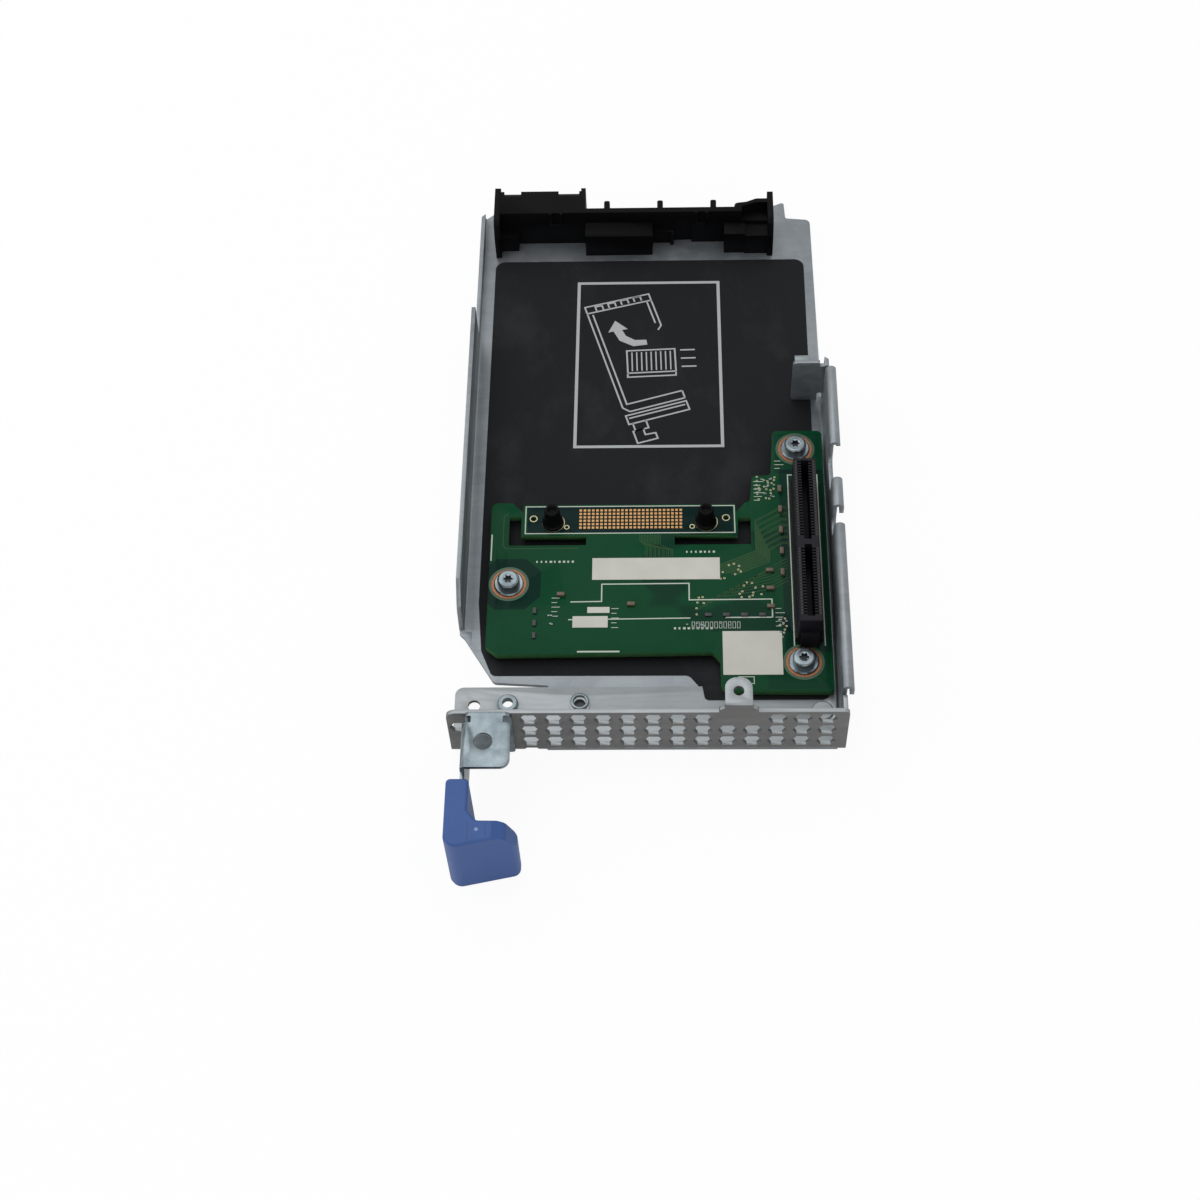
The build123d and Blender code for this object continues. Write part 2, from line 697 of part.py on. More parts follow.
def guide_ribs():
    """The three upright ribs behind the spine and the swollen right shoulder."""
    ribs = []
    for step in range(3):
        x = GUIDE_RIB_FIRST_X + GUIDE_RIB_PITCH * step
        rib = block(
            x - GUIDE_RIB_WIDTH / 2,
            x + GUIDE_RIB_WIDTH / 2,
            GUIDE_SPINE_BACK_Y - 0.1,
            GUIDE_RIB_BACK_Y,
            GUIDE_BASE,
            GUIDE_TOP,
        )
        ribs.append(fillet(rib.edges().filter_by(Axis.Z).group_by(Axis.Y)[-1], 0.5))
    shoulder = plan(
        [
            (22.3, GUIDE_SPINE_BACK_Y - 0.1, 0),
            (22.5, 155.4, 1.0),
            (25.5, 155.8, 1.5),
            (28.0, 156.9, 1.5),
            (31.9, 156.9, 0),
            (31.9, GUIDE_SPINE_BACK_Y - 0.1, 0),
        ],
        GUIDE_BASE,
        GUIDE_TOP,
    )
    ribs.append(shoulder)
    return ribs


def guide_blocks():
    """The lower blocks along the guide's front: left stop, long centre bar, hook and right pair."""
    left = block(-38.6, -34.0, 150.0, GUIDE_FRONT_Y + 0.1, GUIDE_BASE, 5.9)
    centre = block(-16.4, 1.1, 148.2, GUIDE_FRONT_Y + 0.1, GUIDE_BASE, 8.7)
    centre = chamfer(centre.edges().filter_by(Axis.X).group_by(Axis.Y)[0].sort_by(Axis.Z)[-1], 0.4)
    hook = block(1.0, 6.6, 151.6, GUIDE_FRONT_Y + 0.1, GUIDE_BASE, 6.5)
    hook -= block(1.2, 5.8, 151.0, GUIDE_FRONT_Y - 0.2, GUIDE_BASE - 1, 5.6)
    right = block(19.7, 25.2, 148.7, GUIDE_FRONT_Y + 0.1, GUIDE_BASE, 8.2)
    far = block(25.1, 31.9, 148.4, GUIDE_FRONT_Y + 0.1, GUIDE_BASE, 7.8)
    return [left, centre, hook, right, far]


def guide_clip(x):
    """A small U-shaped catch on the guide's front face, hanging from the top edge."""
    y0 = GUIDE_FRONT_Y - 0.45
    y1 = GUIDE_FRONT_Y + 0.1
    frame = front(
        [
            (x - 1.7, GUIDE_TOP, 0),
            (x - 1.5, 8.0, 0),
            (x + 1.5, 8.0, 0),
            (x + 1.7, GUIDE_TOP, 0),
        ],
        y0,
        y1,
    )
    frame -= front(
        [
            (x - 1.0, GUIDE_TOP + 1, 0),
            (x - 1.0, 8.6, 0),
            (x + 1.0, 8.6, 0),
            (x + 1.0, GUIDE_TOP + 1, 0),
        ],
        y0 - 1,
        y1 - 0.1,
    )
    return frame


def guide_end(x0, x1, y_front, y_back, top):
    """One end plate of the guide, reaching out to the front and the back."""
    plate = side(
        [
            (y_front, GUIDE_BASE, 0),
            (y_back, GUIDE_BASE, 0),
            (y_back, top, 0.6),
            (y_front + 1.6, top, 2.0),
            (y_front, top - 5.0, 1.0),
        ],
        x0,
        x1,
    )
    return plate


def make_card_guide():
    """The black moulded card guide on the tray's far edge."""
    guide = guide_spine() + guide_shelf()
    guide += guide_ribs()
    guide += guide_blocks()
    guide += guide_clip(-24.0)
    guide += guide_clip(13.9)
    guide += guide_end(GUIDE_LEFT_X, GUIDE_LEFT_X + 1.5, 147.7, 161.4, GUIDE_TOP + 0.4)
    guide += guide_end(GUIDE_RIGHT_X - 1.5, GUIDE_RIGHT_X, 147.5, 159.2, GUIDE_TOP + 0.4)
    guide -= plan(
        [(24.2, GUIDE_FRONT_Y - 1, 0), (24.2, 154.3, 1.0), (28.0, 155.6, 1.0), (30.9, 155.6, 0), (30.9, GUIDE_FRONT_Y - 1, 0)],
        9.0,
        GUIDE_TOP + 1,
    )
    return guide


def bracket_shelf():
    """The bracket's top plate with its rounded corners, folded down along the left edge."""
    fold = front(
        [
            (ZINC_RIGHT_X, ZINC_TOP - ZINC_SHEET, 0),
            (ZINC_RIGHT_X, ZINC_TOP, 0),
            (ZINC_LEFT_X, ZINC_TOP, 1.2),
            (ZINC_LEFT_X, 7.0, 0),
            (ZINC_LEFT_X + ZINC_SHEET, 7.0, 0),
            (ZINC_LEFT_X + ZINC_SHEET, ZINC_TOP - ZINC_SHEET, 0.2),
        ],
        ZINC_FRONT_Y,
        -2.6,
    )
    fold &= plan(
        [
            (ZINC_LEFT_X, -2.6, 0),
            (ZINC_LEFT_X, ZINC_FRONT_Y, 0),
            (ZINC_RIGHT_X, ZINC_FRONT_Y, 2.2),
            (ZINC_RIGHT_X, -2.6, 0.8),
        ],
        0,
        30,
    )
    return fold - upright(ZINC_HOLE_X, ZINC_HOLE_Y, ZINC_HOLE_RADIUS, 15, 25)


def make_handle_bracket():
    """The bright zinc-plated bracket that carries the grip, one folded piece."""
    back = front(
        [
            (ZINC_LEFT_X + 0.6, ZINC_BOTTOM, 0.8),
            (ZINC_RIGHT_X, ZINC_BOTTOM, 0.8),
            (ZINC_RIGHT_X, ZINC_TOP, 1.6),
            (ZINC_LEFT_X + 0.6, ZINC_TOP, 1.0),
        ],
        -ZINC_SHEET,
        0,
    )
    neck = block(ZINC_LEFT_X + 2.0, ZINC_RIGHT_X - 1.8, -2.7, -0.5, ZINC_TOP - ZINC_SHEET, ZINC_TOP)
    arm = side(
        [
            (ZINC_FRONT_Y + 0.5, 17.6, 0),
            (-24.0, 17.6, 0.8),
            (-24.0, 3.0, 0.8),
            (-14.5, 3.0, 2.0),
            (-11.5, 7.6, 0),
            (ZINC_FRONT_Y + 0.5, 10.0, 0),
        ],
        ZINC_LEFT_X,
        ZINC_LEFT_X + ZINC_SHEET,
    )
    return back + neck + bracket_shelf() + arm


def grip_plan(z0, z1):
    """The grip's L-shaped outline seen from above."""
    return plan(
        [
            (-43.2, -16.5, 1.0),
            (-38.2, -16.5, 1.0),
            (-38.2, -24.0, 0),
            (-36.4, -26.4, 1.5),
            (-27.8, -26.5, 0.8),
            (-27.8, -29.9, 1.8),
            (-41.4, -32.8, 2.4),
            (-43.2, -30.8, 1.6),
        ],
        z0,
        z1,
    )


def make_handle_grip():
    """The blue moulded grip: an arm, a foot that points right and a socket for the bracket arm."""
    grip = grip_plan(0, GRIP_HEIGHT)
    grip = fillet(grip.edges().group_by(Axis.Z)[-1], 0.7)
    grip = fillet(grip.edges().group_by(Axis.Z)[0], 0.4)
    nose = front(
        [
            (-33.0, GRIP_HEIGHT + 0.02, 0),
            (-30.2, GRIP_HEIGHT - 1.4, 3.0),
            (-28.0, 14.0, 1.0),
            (-27.0, 12.0, 0),
            (-27.0, 25.0, 0),
            (-33.0, 25.0, 0),
        ],
        -34,
        -25,
    )
    grip -= nose
    grip -= block(
        ZINC_LEFT_X - GRIP_TONGUE_CLEARANCE,
        ZINC_LEFT_X + ZINC_SHEET + GRIP_TONGUE_CLEARANCE,
        -24.0,
        -15.0,
        3.0 - GRIP_TONGUE_CLEARANCE,
        17.6 + GRIP_TONGUE_CLEARANCE,
    )
    return grip


def label(x0, x1, y0, y1):
    """A thin paper label on the board."""
    return block(x0, x1, y0, y1, BOARD_TOP, BOARD_TOP + 0.12)


def make_block_label():
    """The long label near the middle of the board."""
    return label(-13.2, 16.9, 44.4, 50.5)


def make_square_label():
    """The nearly square label near the front."""
    return label(17.2, 30.9, 18.3, 30.0)


def make_small_labels():
    """The two small labels at the left."""
    return Compound(children=[label(-17.6, -9.4, 31.2, 34.3), label(-14.2, -9.0, 35.2, 36.8)])


def chip(x, y, length, width, height):
    """A small surface-mount part: body resting on the board."""
    return block(x - length / 2, x + length / 2, y - width / 2, y + width / 2, BOARD_TOP, BOARD_TOP + height)


def make_chip_capacitors():
    """The tan capacitors beside the slot and along the left edge."""
    parts = []
    for step in range(5):
        parts.append(chip(31.6, 46.0 + 6.0 * step, 0.9, 1.8, 0.9))
    for step in range(3):
        parts.append(chip(28.6, 36.6 + 5.0 * step, 1.8, 0.9, 0.8))
    parts.append(chip(-20.5, 40.2, 1.8, 0.9, 0.8))
    parts.append(chip(-4.0, 37.4, 1.8, 0.9, 0.8))
    return Compound(children=parts)


def make_chip_resistors():
    """The small dark resistors."""
    parts = []
    for step in range(4):
        parts.append(chip(14.0 + 4.2 * step, 34.4, 1.6, 0.8, 0.5))
    for step in range(3):
        parts.append(chip(-26.5, 29.0 + 3.4 * step, 0.8, 1.6, 0.5))
    return Compound(children=parts)


def save(shape, name):
    """Moves one piece to the shared origin, the middle of the tray floor's underside, and writes it."""
    export_step(TO_REFERENCE * shape, f"parts/{name}.step")


os.makedirs("parts", exist_ok=True)
save(make_tray(), "tray")
save(make_insulator_sheet(), "insulator_sheet")
save(make_vent_bracket(), "vent_bracket")
save(make_clinch_nut(), "clinch_nut")
save(make_flange_rivet(), "flange_rivet")
save(make_card_guide(), "card_guide")
save(make_riser_board(), "riser_board")
save(make_plating(SCREW_LEFT), "screw_plating_left")
save(make_plating(SCREW_REAR), "screw_plating_rear")
save(make_plating(SCREW_FRONT), "screw_plating_front")
save(make_screw(SCREW_LEFT), "board_screw_left")
save(make_screw(SCREW_REAR), "board_screw_rear")
save(make_screw(SCREW_FRONT), "board_screw_front")
save(make_standoff(SCREW_LEFT), "standoff_left")
save(make_standoff(SCREW_REAR), "standoff_rear")
save(make_standoff(SCREW_FRONT), "standoff_front")
save(make_contact_pads(), "contact_pads")
save(make_guide_post(POST_LEFT), "guide_post_left")
save(make_guide_post(POST_RIGHT), "guide_post_right")
save(make_slot_housing(), "slot_housing")
save(make_slot_contacts(), "slot_contacts")
save(make_handle_bracket(), "handle_bracket")
save(make_handle_grip(), "handle_grip")
save(make_block_label(), "block_label")
save(make_square_label(), "square_label")
save(make_small_labels(), "small_labels")
save(make_chip_capacitors(), "chip_capacitors")
save(make_chip_resistors(), "chip_resistors")
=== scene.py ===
import math
import random

import bmesh
import bpy
from bpy.props import FloatProperty, FloatVectorProperty, IntProperty, PointerProperty
from mathutils import Matrix, Vector


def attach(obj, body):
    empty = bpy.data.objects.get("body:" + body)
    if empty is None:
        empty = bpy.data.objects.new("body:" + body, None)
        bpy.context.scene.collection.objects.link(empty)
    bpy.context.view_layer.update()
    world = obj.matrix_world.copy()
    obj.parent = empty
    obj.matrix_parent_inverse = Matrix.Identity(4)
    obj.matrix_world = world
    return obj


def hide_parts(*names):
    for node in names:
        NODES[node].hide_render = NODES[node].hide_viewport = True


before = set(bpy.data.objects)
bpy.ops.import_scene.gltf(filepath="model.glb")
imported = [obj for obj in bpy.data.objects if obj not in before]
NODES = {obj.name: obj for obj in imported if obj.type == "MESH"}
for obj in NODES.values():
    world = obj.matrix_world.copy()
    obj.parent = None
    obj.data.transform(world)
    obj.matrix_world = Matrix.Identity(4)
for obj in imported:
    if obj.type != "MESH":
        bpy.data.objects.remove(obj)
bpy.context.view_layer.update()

bl_info = {
    "name": "Riser cage bracket",
    "version": (1, 0, 0),
    "blender": (4, 5, 0),
    "location": "3D View > Sidebar > Riser cage",
    "description": "Dresses the riser cage bracket's solids with finishes, board printing and small fittings",
    "category": "Object",
}

# The drawing's Y is counted from the vented plate; the frame's origin lies this far behind it.
FRAME_SHIFT_MM = 83.0
BOARD_TOP = 4.24
FILM_TOP = 1.2
SLOT_TOP = 14.6
SLOT_X = 37.15
SLOT_PITCH = 0.8
# Radius and height pairs, in millimetres, from the foot to the dished top.
POST_PROFILE = (
    (2.6, 0.0), (2.6, 0.5), (2.45, 0.72), (2.2, 0.85), (2.08, 1.2), (1.78, 5.1),
    (1.68, 5.42), (1.5, 5.55), (1.2, 5.55), (1.05, 5.45), (0.98, 4.7),
)
EYELET_PROFILE = ((1.42, 0.0), (1.42, 0.35), (1.55, 0.5), (1.95, 0.5), (2.15, 0.3), (2.15, 0.0))
INK = 0.03
SCREW_HEAD = 2.5
SCREW_SPOTS = {"left": (-32.8, 43.4), "rear": (35.8, 82.2), "front": (35.7, 21.7)}
POST_SPOTS = {"left": (-22.8, 60.8), "right": (13.8, 60.8)}
EYELET_SPOT = (-15.6, 12.2)
PHOTO_SIDE_PX = 1200.0
SENSOR_MM = 36.0
WELD_REACH = 0.000002
EASE_ANGLE = math.radians(40)
SPLIT_ANGLE = math.radians(32)


def spot(x, y, z):
    """A point of the drawing, in millimetres, as a point of the frame, in metres."""
    return Vector((x / 1000, (y - FRAME_SHIFT_MM) / 1000, z / 1000))


def tone(red, green, blue):
    """A colour picked on a 0 to 255 scale, as the linear values a shader takes."""
    def linear(value):
        v = value / 255
        return v / 12.92 if v <= 0.04045 else ((v + 0.055) / 1.055) ** 2.4

    return (linear(red), linear(green), linear(blue), 1.0)


# ---- shader sums ----


class Wire:
    """One shader value, so that sums of values read as plain expressions."""

    def __init__(self, finish, socket):
        self.finish = finish
        self.socket = socket

    def sum(self, operation, *others, clamp=False):
        """One Math node with this value first."""
        made = self.finish.tree.nodes.new("ShaderNodeMath")
        made.operation = operation
        made.use_clamp = clamp
        for place, value in enumerate((self, *others)):
            self.finish.plug(value, made.inputs[place])
        return Wire(self.finish, made.outputs[0])

    def after(self, operation, other):
        """One Math node with this value second."""
        made = self.finish.tree.nodes.new("ShaderNodeMath")
        made.operation = operation
        self.finish.plug(other, made.inputs[0])
        self.finish.plug(self, made.inputs[1])
        return Wire(self.finish, made.outputs[0])

    def __add__(self, other):
        return self.sum("ADD", other)

    def __radd__(self, other):
        return self.after("ADD", other)

    def __sub__(self, other):
        return self.sum("SUBTRACT", other)

    def __rsub__(self, other):
        return self.after("SUBTRACT", other)

    def __mul__(self, other):
        return self.sum("MULTIPLY", other)

    def __rmul__(self, other):
        return self.after("MULTIPLY", other)

    def __truediv__(self, other):
        return self.sum("DIVIDE", other)

    def __abs__(self):
        return self.sum("ABSOLUTE")

    def above(self, edge, soft):
        """0 below the edge and 1 above it, over a soft width."""
        return ((self - (edge - soft / 2)) / soft).sum("ADD", 0.0, clamp=True)

    def below(self, edge, soft):
        """1 below the edge and 0 above it, over a soft width."""
        return 1.0 - self.above(edge, soft)


class Finish:
    """One material, built from nodes in plain calls."""

    def __init__(self, name):
        self.material = bpy.data.materials.new(name)
        self.material.use_nodes = True
        self.tree = self.material.node_tree
        self.tree.nodes.clear()
        self.shader = self.tree.nodes.new("ShaderNodeBsdfPrincipled")
        self.output = self.tree.nodes.new("ShaderNodeOutputMaterial")
        self.tree.links.new(self.shader.outputs[0], self.output.inputs["Surface"])
        coords = self.tree.nodes.new("ShaderNodeTexCoord")
        scaled = self.tree.nodes.new("ShaderNodeVectorMath")
        scaled.operation = "SCALE"
        scaled.inputs["Scale"].default_value = 1000.0
        self.tree.links.new(coords.outputs["Object"], scaled.inputs[0])
        self.place = Wire(self, scaled.outputs[0])

    def plug(self, value, socket):
        """Links a wire to a socket, or sets a plain value on it."""
        if isinstance(value, Wire):
            self.tree.links.new(value.socket, socket)
        else:
            socket.default_value = value

    def node(self, kind, output, settings, inputs):
        """Any node: its settings first, then its sockets' values or links."""
        made = self.tree.nodes.new(kind)
        for key, value in settings.items():
            setattr(made, key, value)
        for key, value in inputs.items():
            self.plug(value, made.inputs[key])
        return Wire(self, made.outputs[output])

    def axes(self):
        """The surface point's X, Y and Z in millimetres of the frame."""
        made = self.tree.nodes.new("ShaderNodeSeparateXYZ")
        self.plug(self.place, made.inputs[0])
        return [Wire(self, made.outputs[axis]) for axis in range(3)]

    def facing(self):
        """The surface normal's X, Y and Z."""
        geometry = self.tree.nodes.new("ShaderNodeNewGeometry")
        made = self.tree.nodes.new("ShaderNodeSeparateXYZ")
        self.tree.links.new(geometry.outputs["Normal"], made.inputs[0])
        return [Wire(self, made.outputs[axis]) for axis in range(3)]

    def stretched(self, x, y, z):
        """The surface point with each axis scaled."""
        return self.node(
            "ShaderNodeVectorMath", 0, {"operation": "MULTIPLY"}, {0: self.place, 1: (x, y, z)}
        )

    def noise(self, scale, detail=3.0, rough=0.55, place=None):
        """Soft noise from 0 to 1; scale is features per millimetre."""
        return self.node(
            "ShaderNodeTexNoise",
            "Fac",
            {},
            {"Vector": place or self.place, "Scale": scale, "Detail": detail, "Roughness": rough},
        )

    def cells(self, scale):
        """Cells of random value, as in zinc spangle."""
        return self.node(
            "ShaderNodeTexVoronoi", "Color", {}, {"Vector": self.place, "Scale": scale}
        )

    def blend(self, mask, first, second):
        """The first colour where the mask is 0 and the second where it is 1."""
        made = self.tree.nodes.new("ShaderNodeMix")
        made.data_type = "RGBA"
        made.clamp_factor = True
        self.plug(mask, made.inputs[0])
        self.plug(first, made.inputs[6])
        self.plug(second, made.inputs[7])
        return Wire(self, made.outputs[2])

    def bump(self, height, strength, distance_mm):
        """Small relief from a height value."""
        made = self.node(
            "ShaderNodeBump",
            "Normal",
            {},
            {"Strength": strength, "Distance": distance_mm / 1000, "Height": height},
        )
        self.plug(made, self.shader.inputs["Normal"])

    def set(self, **sockets):
        """Values or links of the main shader, with spaces written as underscores."""
        for key, value in sockets.items():
            self.plug(value, self.shader.inputs[key.replace("_", " ")])
        return self


# ---- finishes ----


def sheet_steel(name, colour, dark, rough, metal, spangle):
    """Plated sheet: faint spangle, rolling streaks and small scuffs."""
    f = Finish(name)
    grain = f.noise(0.9, 4.0, place=f.stretched(0.12, 1.6, 1.0))
    cloud = f.noise(0.045, 3.0)
    cells = f.node("ShaderNodeSeparateColor", 0, {}, {0: f.cells(0.38)})
    scuff = f.noise(0.5, 6.0, 0.7, place=f.stretched(1.0, 0.35, 1.0)).above(0.64, 0.08)
    mask = (cloud - 0.5) * 1.1 + (cells - 0.5) * spangle + (grain - 0.5) * 0.35 + 0.45
    f.set(
        Base_Color=f.blend(mask.sum("ADD", 0.0, clamp=True), dark, colour),
        Roughness=(rough + (cloud - 0.5) * 0.16 + scuff * 0.1 + (cells - 0.5) * 0.08),
        Metallic=metal,
    )
    f.bump(grain * 0.4 + f.noise(6.0, 2.0) * 0.3, 0.12, 0.06)
    return f.material


def tray_steel(look):
    return sheet_steel("tray_steel", tone(*look.tray), tone(*look.tray_dark), 0.42, 0.55, 0.22)


def vent_steel(look):
    """The vented piece: plainer, with level faces such as the flange painted paler and upright faces painted
    darker, as painted light and shade by facing.
    """
    f = Finish("vent_steel")
    # Painted light and shade: level faces get the paler steel, upright faces the darker one.
    level_face_light = abs(f.facing()[2]).above(0.6, 0.3)
    cloud = f.noise(0.08, 4.0)
    grain = f.noise(1.4, 4.0, place=f.stretched(0.15, 1.0, 1.4))
    smear = f.noise(0.16, 5.0, 0.65, place=f.stretched(1.0, 1.0, 2.2)).above(0.58, 0.2)
    mask = ((cloud - 0.5) * 1.0 + (grain - 0.5) * 0.5 + 0.5).sum("ADD", 0.0, clamp=True)
    upright = f.blend(mask, tone(*look.vent_dark), tone(*look.vent))
    flange = f.blend(mask, tone(124, 129, 132), tone(156, 161, 164))
    base = f.blend(level_face_light, upright, flange)
    f.set(
        Base_Color=f.blend(smear * 0.12, base, tone(136, 138, 137)),
        Roughness=0.44 + (cloud - 0.5) * 0.2 - smear * 0.06,
        Metallic=0.5,
    )
    f.bump(grain * 0.5 + f.noise(5.0, 2.0) * 0.3, 0.12, 0.05)
    return f.material


def bright_zinc(name, rough=0.26):
    """Bright plate with a faint blue cast and soft cloudy reflections."""
    f = Finish(name)
    cloud = f.noise(0.22, 4.0, 0.6)
    scratch = f.noise(1.2, 5.0, 0.7, place=f.stretched(0.25, 1.8, 0.6)).above(0.66, 0.06)
    f.set(
        Base_Color=f.blend(cloud.above(0.5, 0.4), tone(84, 94, 99), tone(126, 137, 142)),
        Roughness=rough + (cloud - 0.5) * 0.22 + scratch * 0.12,
        Metallic=0.85,
    )
    f.bump(f.noise(2.2, 3.0), 0.1, 0.05)
    return f.material


def film_black(look):
    """Matt insulating film with dust, faint rubs and a fine tooth."""
    f = Finish("film_black")
    tooth = f.noise(9.0, 2.0)
    dust = f.noise(4.5, 2.0, 0.5).above(0.735, 0.015)
    rub = f.noise(0.07, 6.0, 0.62, place=f.stretched(1.0, 0.6, 1.0)).above(0.6, 0.16)
    hair = f.noise(0.8, 6.0, 0.75, place=f.stretched(0.3, 2.2, 1.0)).above(0.7, 0.03)
    base = f.blend(rub * 0.22, tone(*look.film), tone(46, 48, 50))
    pale = (dust * 0.35 + hair * rub * 0.3).sum("ADD", 0.0, clamp=True)
    f.set(
        Base_Color=f.blend(pale, base, tone(104, 106, 108)),
        Roughness=0.66 - rub * 0.12 + (tooth - 0.5) * 0.08,
        Specular_IOR_Level=0.1,
    )
    f.bump(tooth, 0.1, 0.03)
    return f.material


def moulding_black(name, look):
    """Satin black moulding with a fine spark-eroded skin."""
    f = Finish(name)
    skin = f.noise(5.5, 3.0)
    cloud = f.noise(0.12, 3.0)
    f.set(
        Base_Color=f.blend(cloud, tone(*look.moulding), tone(8, 8, 10)),
        Roughness=0.46 + (cloud - 0.5) * 0.14 + (skin - 0.5) * 0.1,
        Specular_IOR_Level=0.06,
    )
    f.bump(skin, 0.16, 0.03)
    return f.material


def solder_mask(look):
    """The board: green mask, darker copper-free fields, pale laminate edge."""
    f = Finish("solder_mask")
    x, y, z = f.axes()
    side = 1.0 - abs(f.facing()[2]).above(0.5, 0.2)
    soft = 0.16

    def field(x0, x1, y0, y1):
        shift = FRAME_SHIFT_MM
        across = x.above(x0, soft) * x.below(x1, soft)
        return across * y.above(y0 - shift, soft) * y.below(y1 - shift, soft)

    # The strip under the contact grid and the corner fields have no copper under the mask.
    strip = field(-28.9, 20.2, 57.6, 65.5)
    dx = abs(x + 32.4)
    dy = abs(y - (43.4 - FRAME_SHIFT_MM))
    eight = (dx.sum("MAXIMUM", dy)).below(7.1, soft) * (dx + dy).below(10.6, soft)
    corner = field(27.4, 41.7, 14.6, 24.2)
    rear = field(30.6, 41.7, 74.9, 86.9)
    slot = field(31.6, 42.1, 24.2, 76.0)
    web = (f.noise(0.05, 2.0)).above(0.56, 0.03) * field(-10.0, 33.0, 30.0, 58.0)
    dark = strip + eight * 0.8 + slot * 0.65 + rear * 0.35 + corner * 0.3 + web * 0.5
    dark = dark.sum("ADD", 0.0, clamp=True)
    cloud = f.noise(0.12, 3.0)
    weave = f.noise(1.4, 2.0)
    green = f.blend(cloud, tone(*look.mask_green), tone(6, 66, 38))
    base = f.blend(dark, green, tone(*look.mask_dark))
    edge = f.blend(f.noise(0.5, 4.0), tone(40, 84, 48), tone(76, 108, 66))
    f.set(
        Base_Color=f.blend(side * 0.75, base, edge),
        Roughness=0.3 + (cloud - 0.5) * 0.1 + side * 0.3,
        Coat_Weight=0.03 - side * 0.03,
        Specular_IOR_Level=0.04,
    )
    f.bump(weave + dark * 0.6, 0.12, 0.03)
    return f.material


def ink_finish(name, colour, rough=0.55):
    """Screen-printed ink, slightly uneven."""
    f = Finish(name)
    patch = f.noise(2.6, 4.0, 0.6)
    darker = tuple(c * 0.72 for c in colour[:3]) + (1.0,)
    f.set(Base_Color=f.blend(patch, darker, colour), Roughness=rough + (patch - 0.5) * 0.1)
    return f.material


def trace_finish(look):
    """Copper runs seen through the mask: paler, olive green."""
    f = Finish("trace_mask")
    wave = f.noise(0.3, 3.0)
    f.set(
        Base_Color=f.blend(wave, tone(*look.trace), tone(60, 86, 56)),
        Roughness=0.3 + (wave - 0.5) * 0.1,
        Specular_IOR_Level=0.04,
    )
    return f.material


def warm_metal(name, colour, dark, rough):
    """Copper or gold flash with a lightly stained surface."""
    f = Finish(name)
    stain = f.noise(0.9, 4.0, 0.6)
    f.set(
        Base_Color=f.blend(stain, dark, colour),
        Roughness=rough + (stain - 0.5) * 0.2,
        Metallic=0.8,
    )
    f.bump(f.noise(6.0, 2.0), 0.1, 0.02)
    return f.material


def slot_moulding(look):
    """The slot's moulding: dark grey with a violet cast, with its sides painted darker below the top face as
    painted shade.
    """
    f = Finish("slot_moulding")
    cloud = f.noise(0.2, 3.0)
    z = f.axes()[2]
    # Painted shade: the moulding darkens below the top face, down towards the board.
    painted_depth_shade = z.below(12.6, 3.0)
    face = f.blend(cloud, tone(*look.slot), tone(27, 26, 32))
    f.set(
        Base_Color=f.blend(painted_depth_shade * 0.45, face, tone(16, 14, 18)),
        Roughness=0.42 + (cloud - 0.5) * 0.12,
        Specular_IOR_Level=0.12,
    )
    f.bump(f.noise(5.0, 2.0), 0.1, 0.03)
    return f.material


def grip_blue(look):
    """The grip's moulding: satin blue with a soft uneven tone."""
    f = Finish("grip_blue")
    skin = f.noise(4.0, 3.0)
    cloud = f.noise(0.09, 3.0)
    flow = f.noise(0.3, 4.0, place=f.stretched(1.0, 1.0, 0.3))
    tint = f.blend((cloud * 0.7 + flow * 0.3), tone(*look.grip_dark), tone(*look.grip))
    f.set(
        Base_Color=tint,
        Roughness=0.44 + (cloud - 0.5) * 0.12 + (skin - 0.5) * 0.08,
        Specular_IOR_Level=0.2,
    )
    f.bump(skin, 0.14, 0.03)
    return f.material


def paper_label():
    """Matt white label stock."""
    f = Finish("paper_label")
    fibre = f.noise(3.0, 4.0)
    stain = f.noise(0.15, 3.0)
    f.set(
        Base_Color=f.blend(stain, tone(176, 175, 167), tone(200, 199, 190)),
        Roughness=0.6 + (fibre - 0.5) * 0.1,
    )
    f.bump(fibre, 0.15, 0.02)
    return f.material


def ceramic(name, colour, dark):
    """A chip part's body."""
    f = Finish(name)
    grit = f.noise(3.0, 3.0)
    f.set(Base_Color=f.blend(grit, dark, colour), Roughness=0.5 + (grit - 0.5) * 0.15)
    f.bump(grit, 0.1, 0.02)
    return f.material


# ---- meshes ----


def finish_piece(name, mesh, material):
    """Makes the object, gives it its finish and lets it ride with the frame."""
    piece = bpy.data.objects.new(name, mesh)
    bpy.context.scene.collection.objects.link(piece)
    piece.data.materials.append(material)
    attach(piece, "root")
    return piece


def drawn(name, material, slot_name, draw, *values):
    """A piece of its own, from a drawing function and its values."""
    bm = bmesh.new()
    draw(bm, *values)
    return finish_piece(name, written(bm, name), material)


def sleeve(bm, rows, closed=True):
    """Joins each row of four corners to the next, and the last to the first when closed."""
    count = len(rows)
    for i in range(count if closed else count - 1):
        near, far = rows[i], rows[(i + 1) % count]
        for k in range(4):
            bm.faces.new((near[k], near[(k + 1) % 4], far[(k + 1) % 4], far[k]))


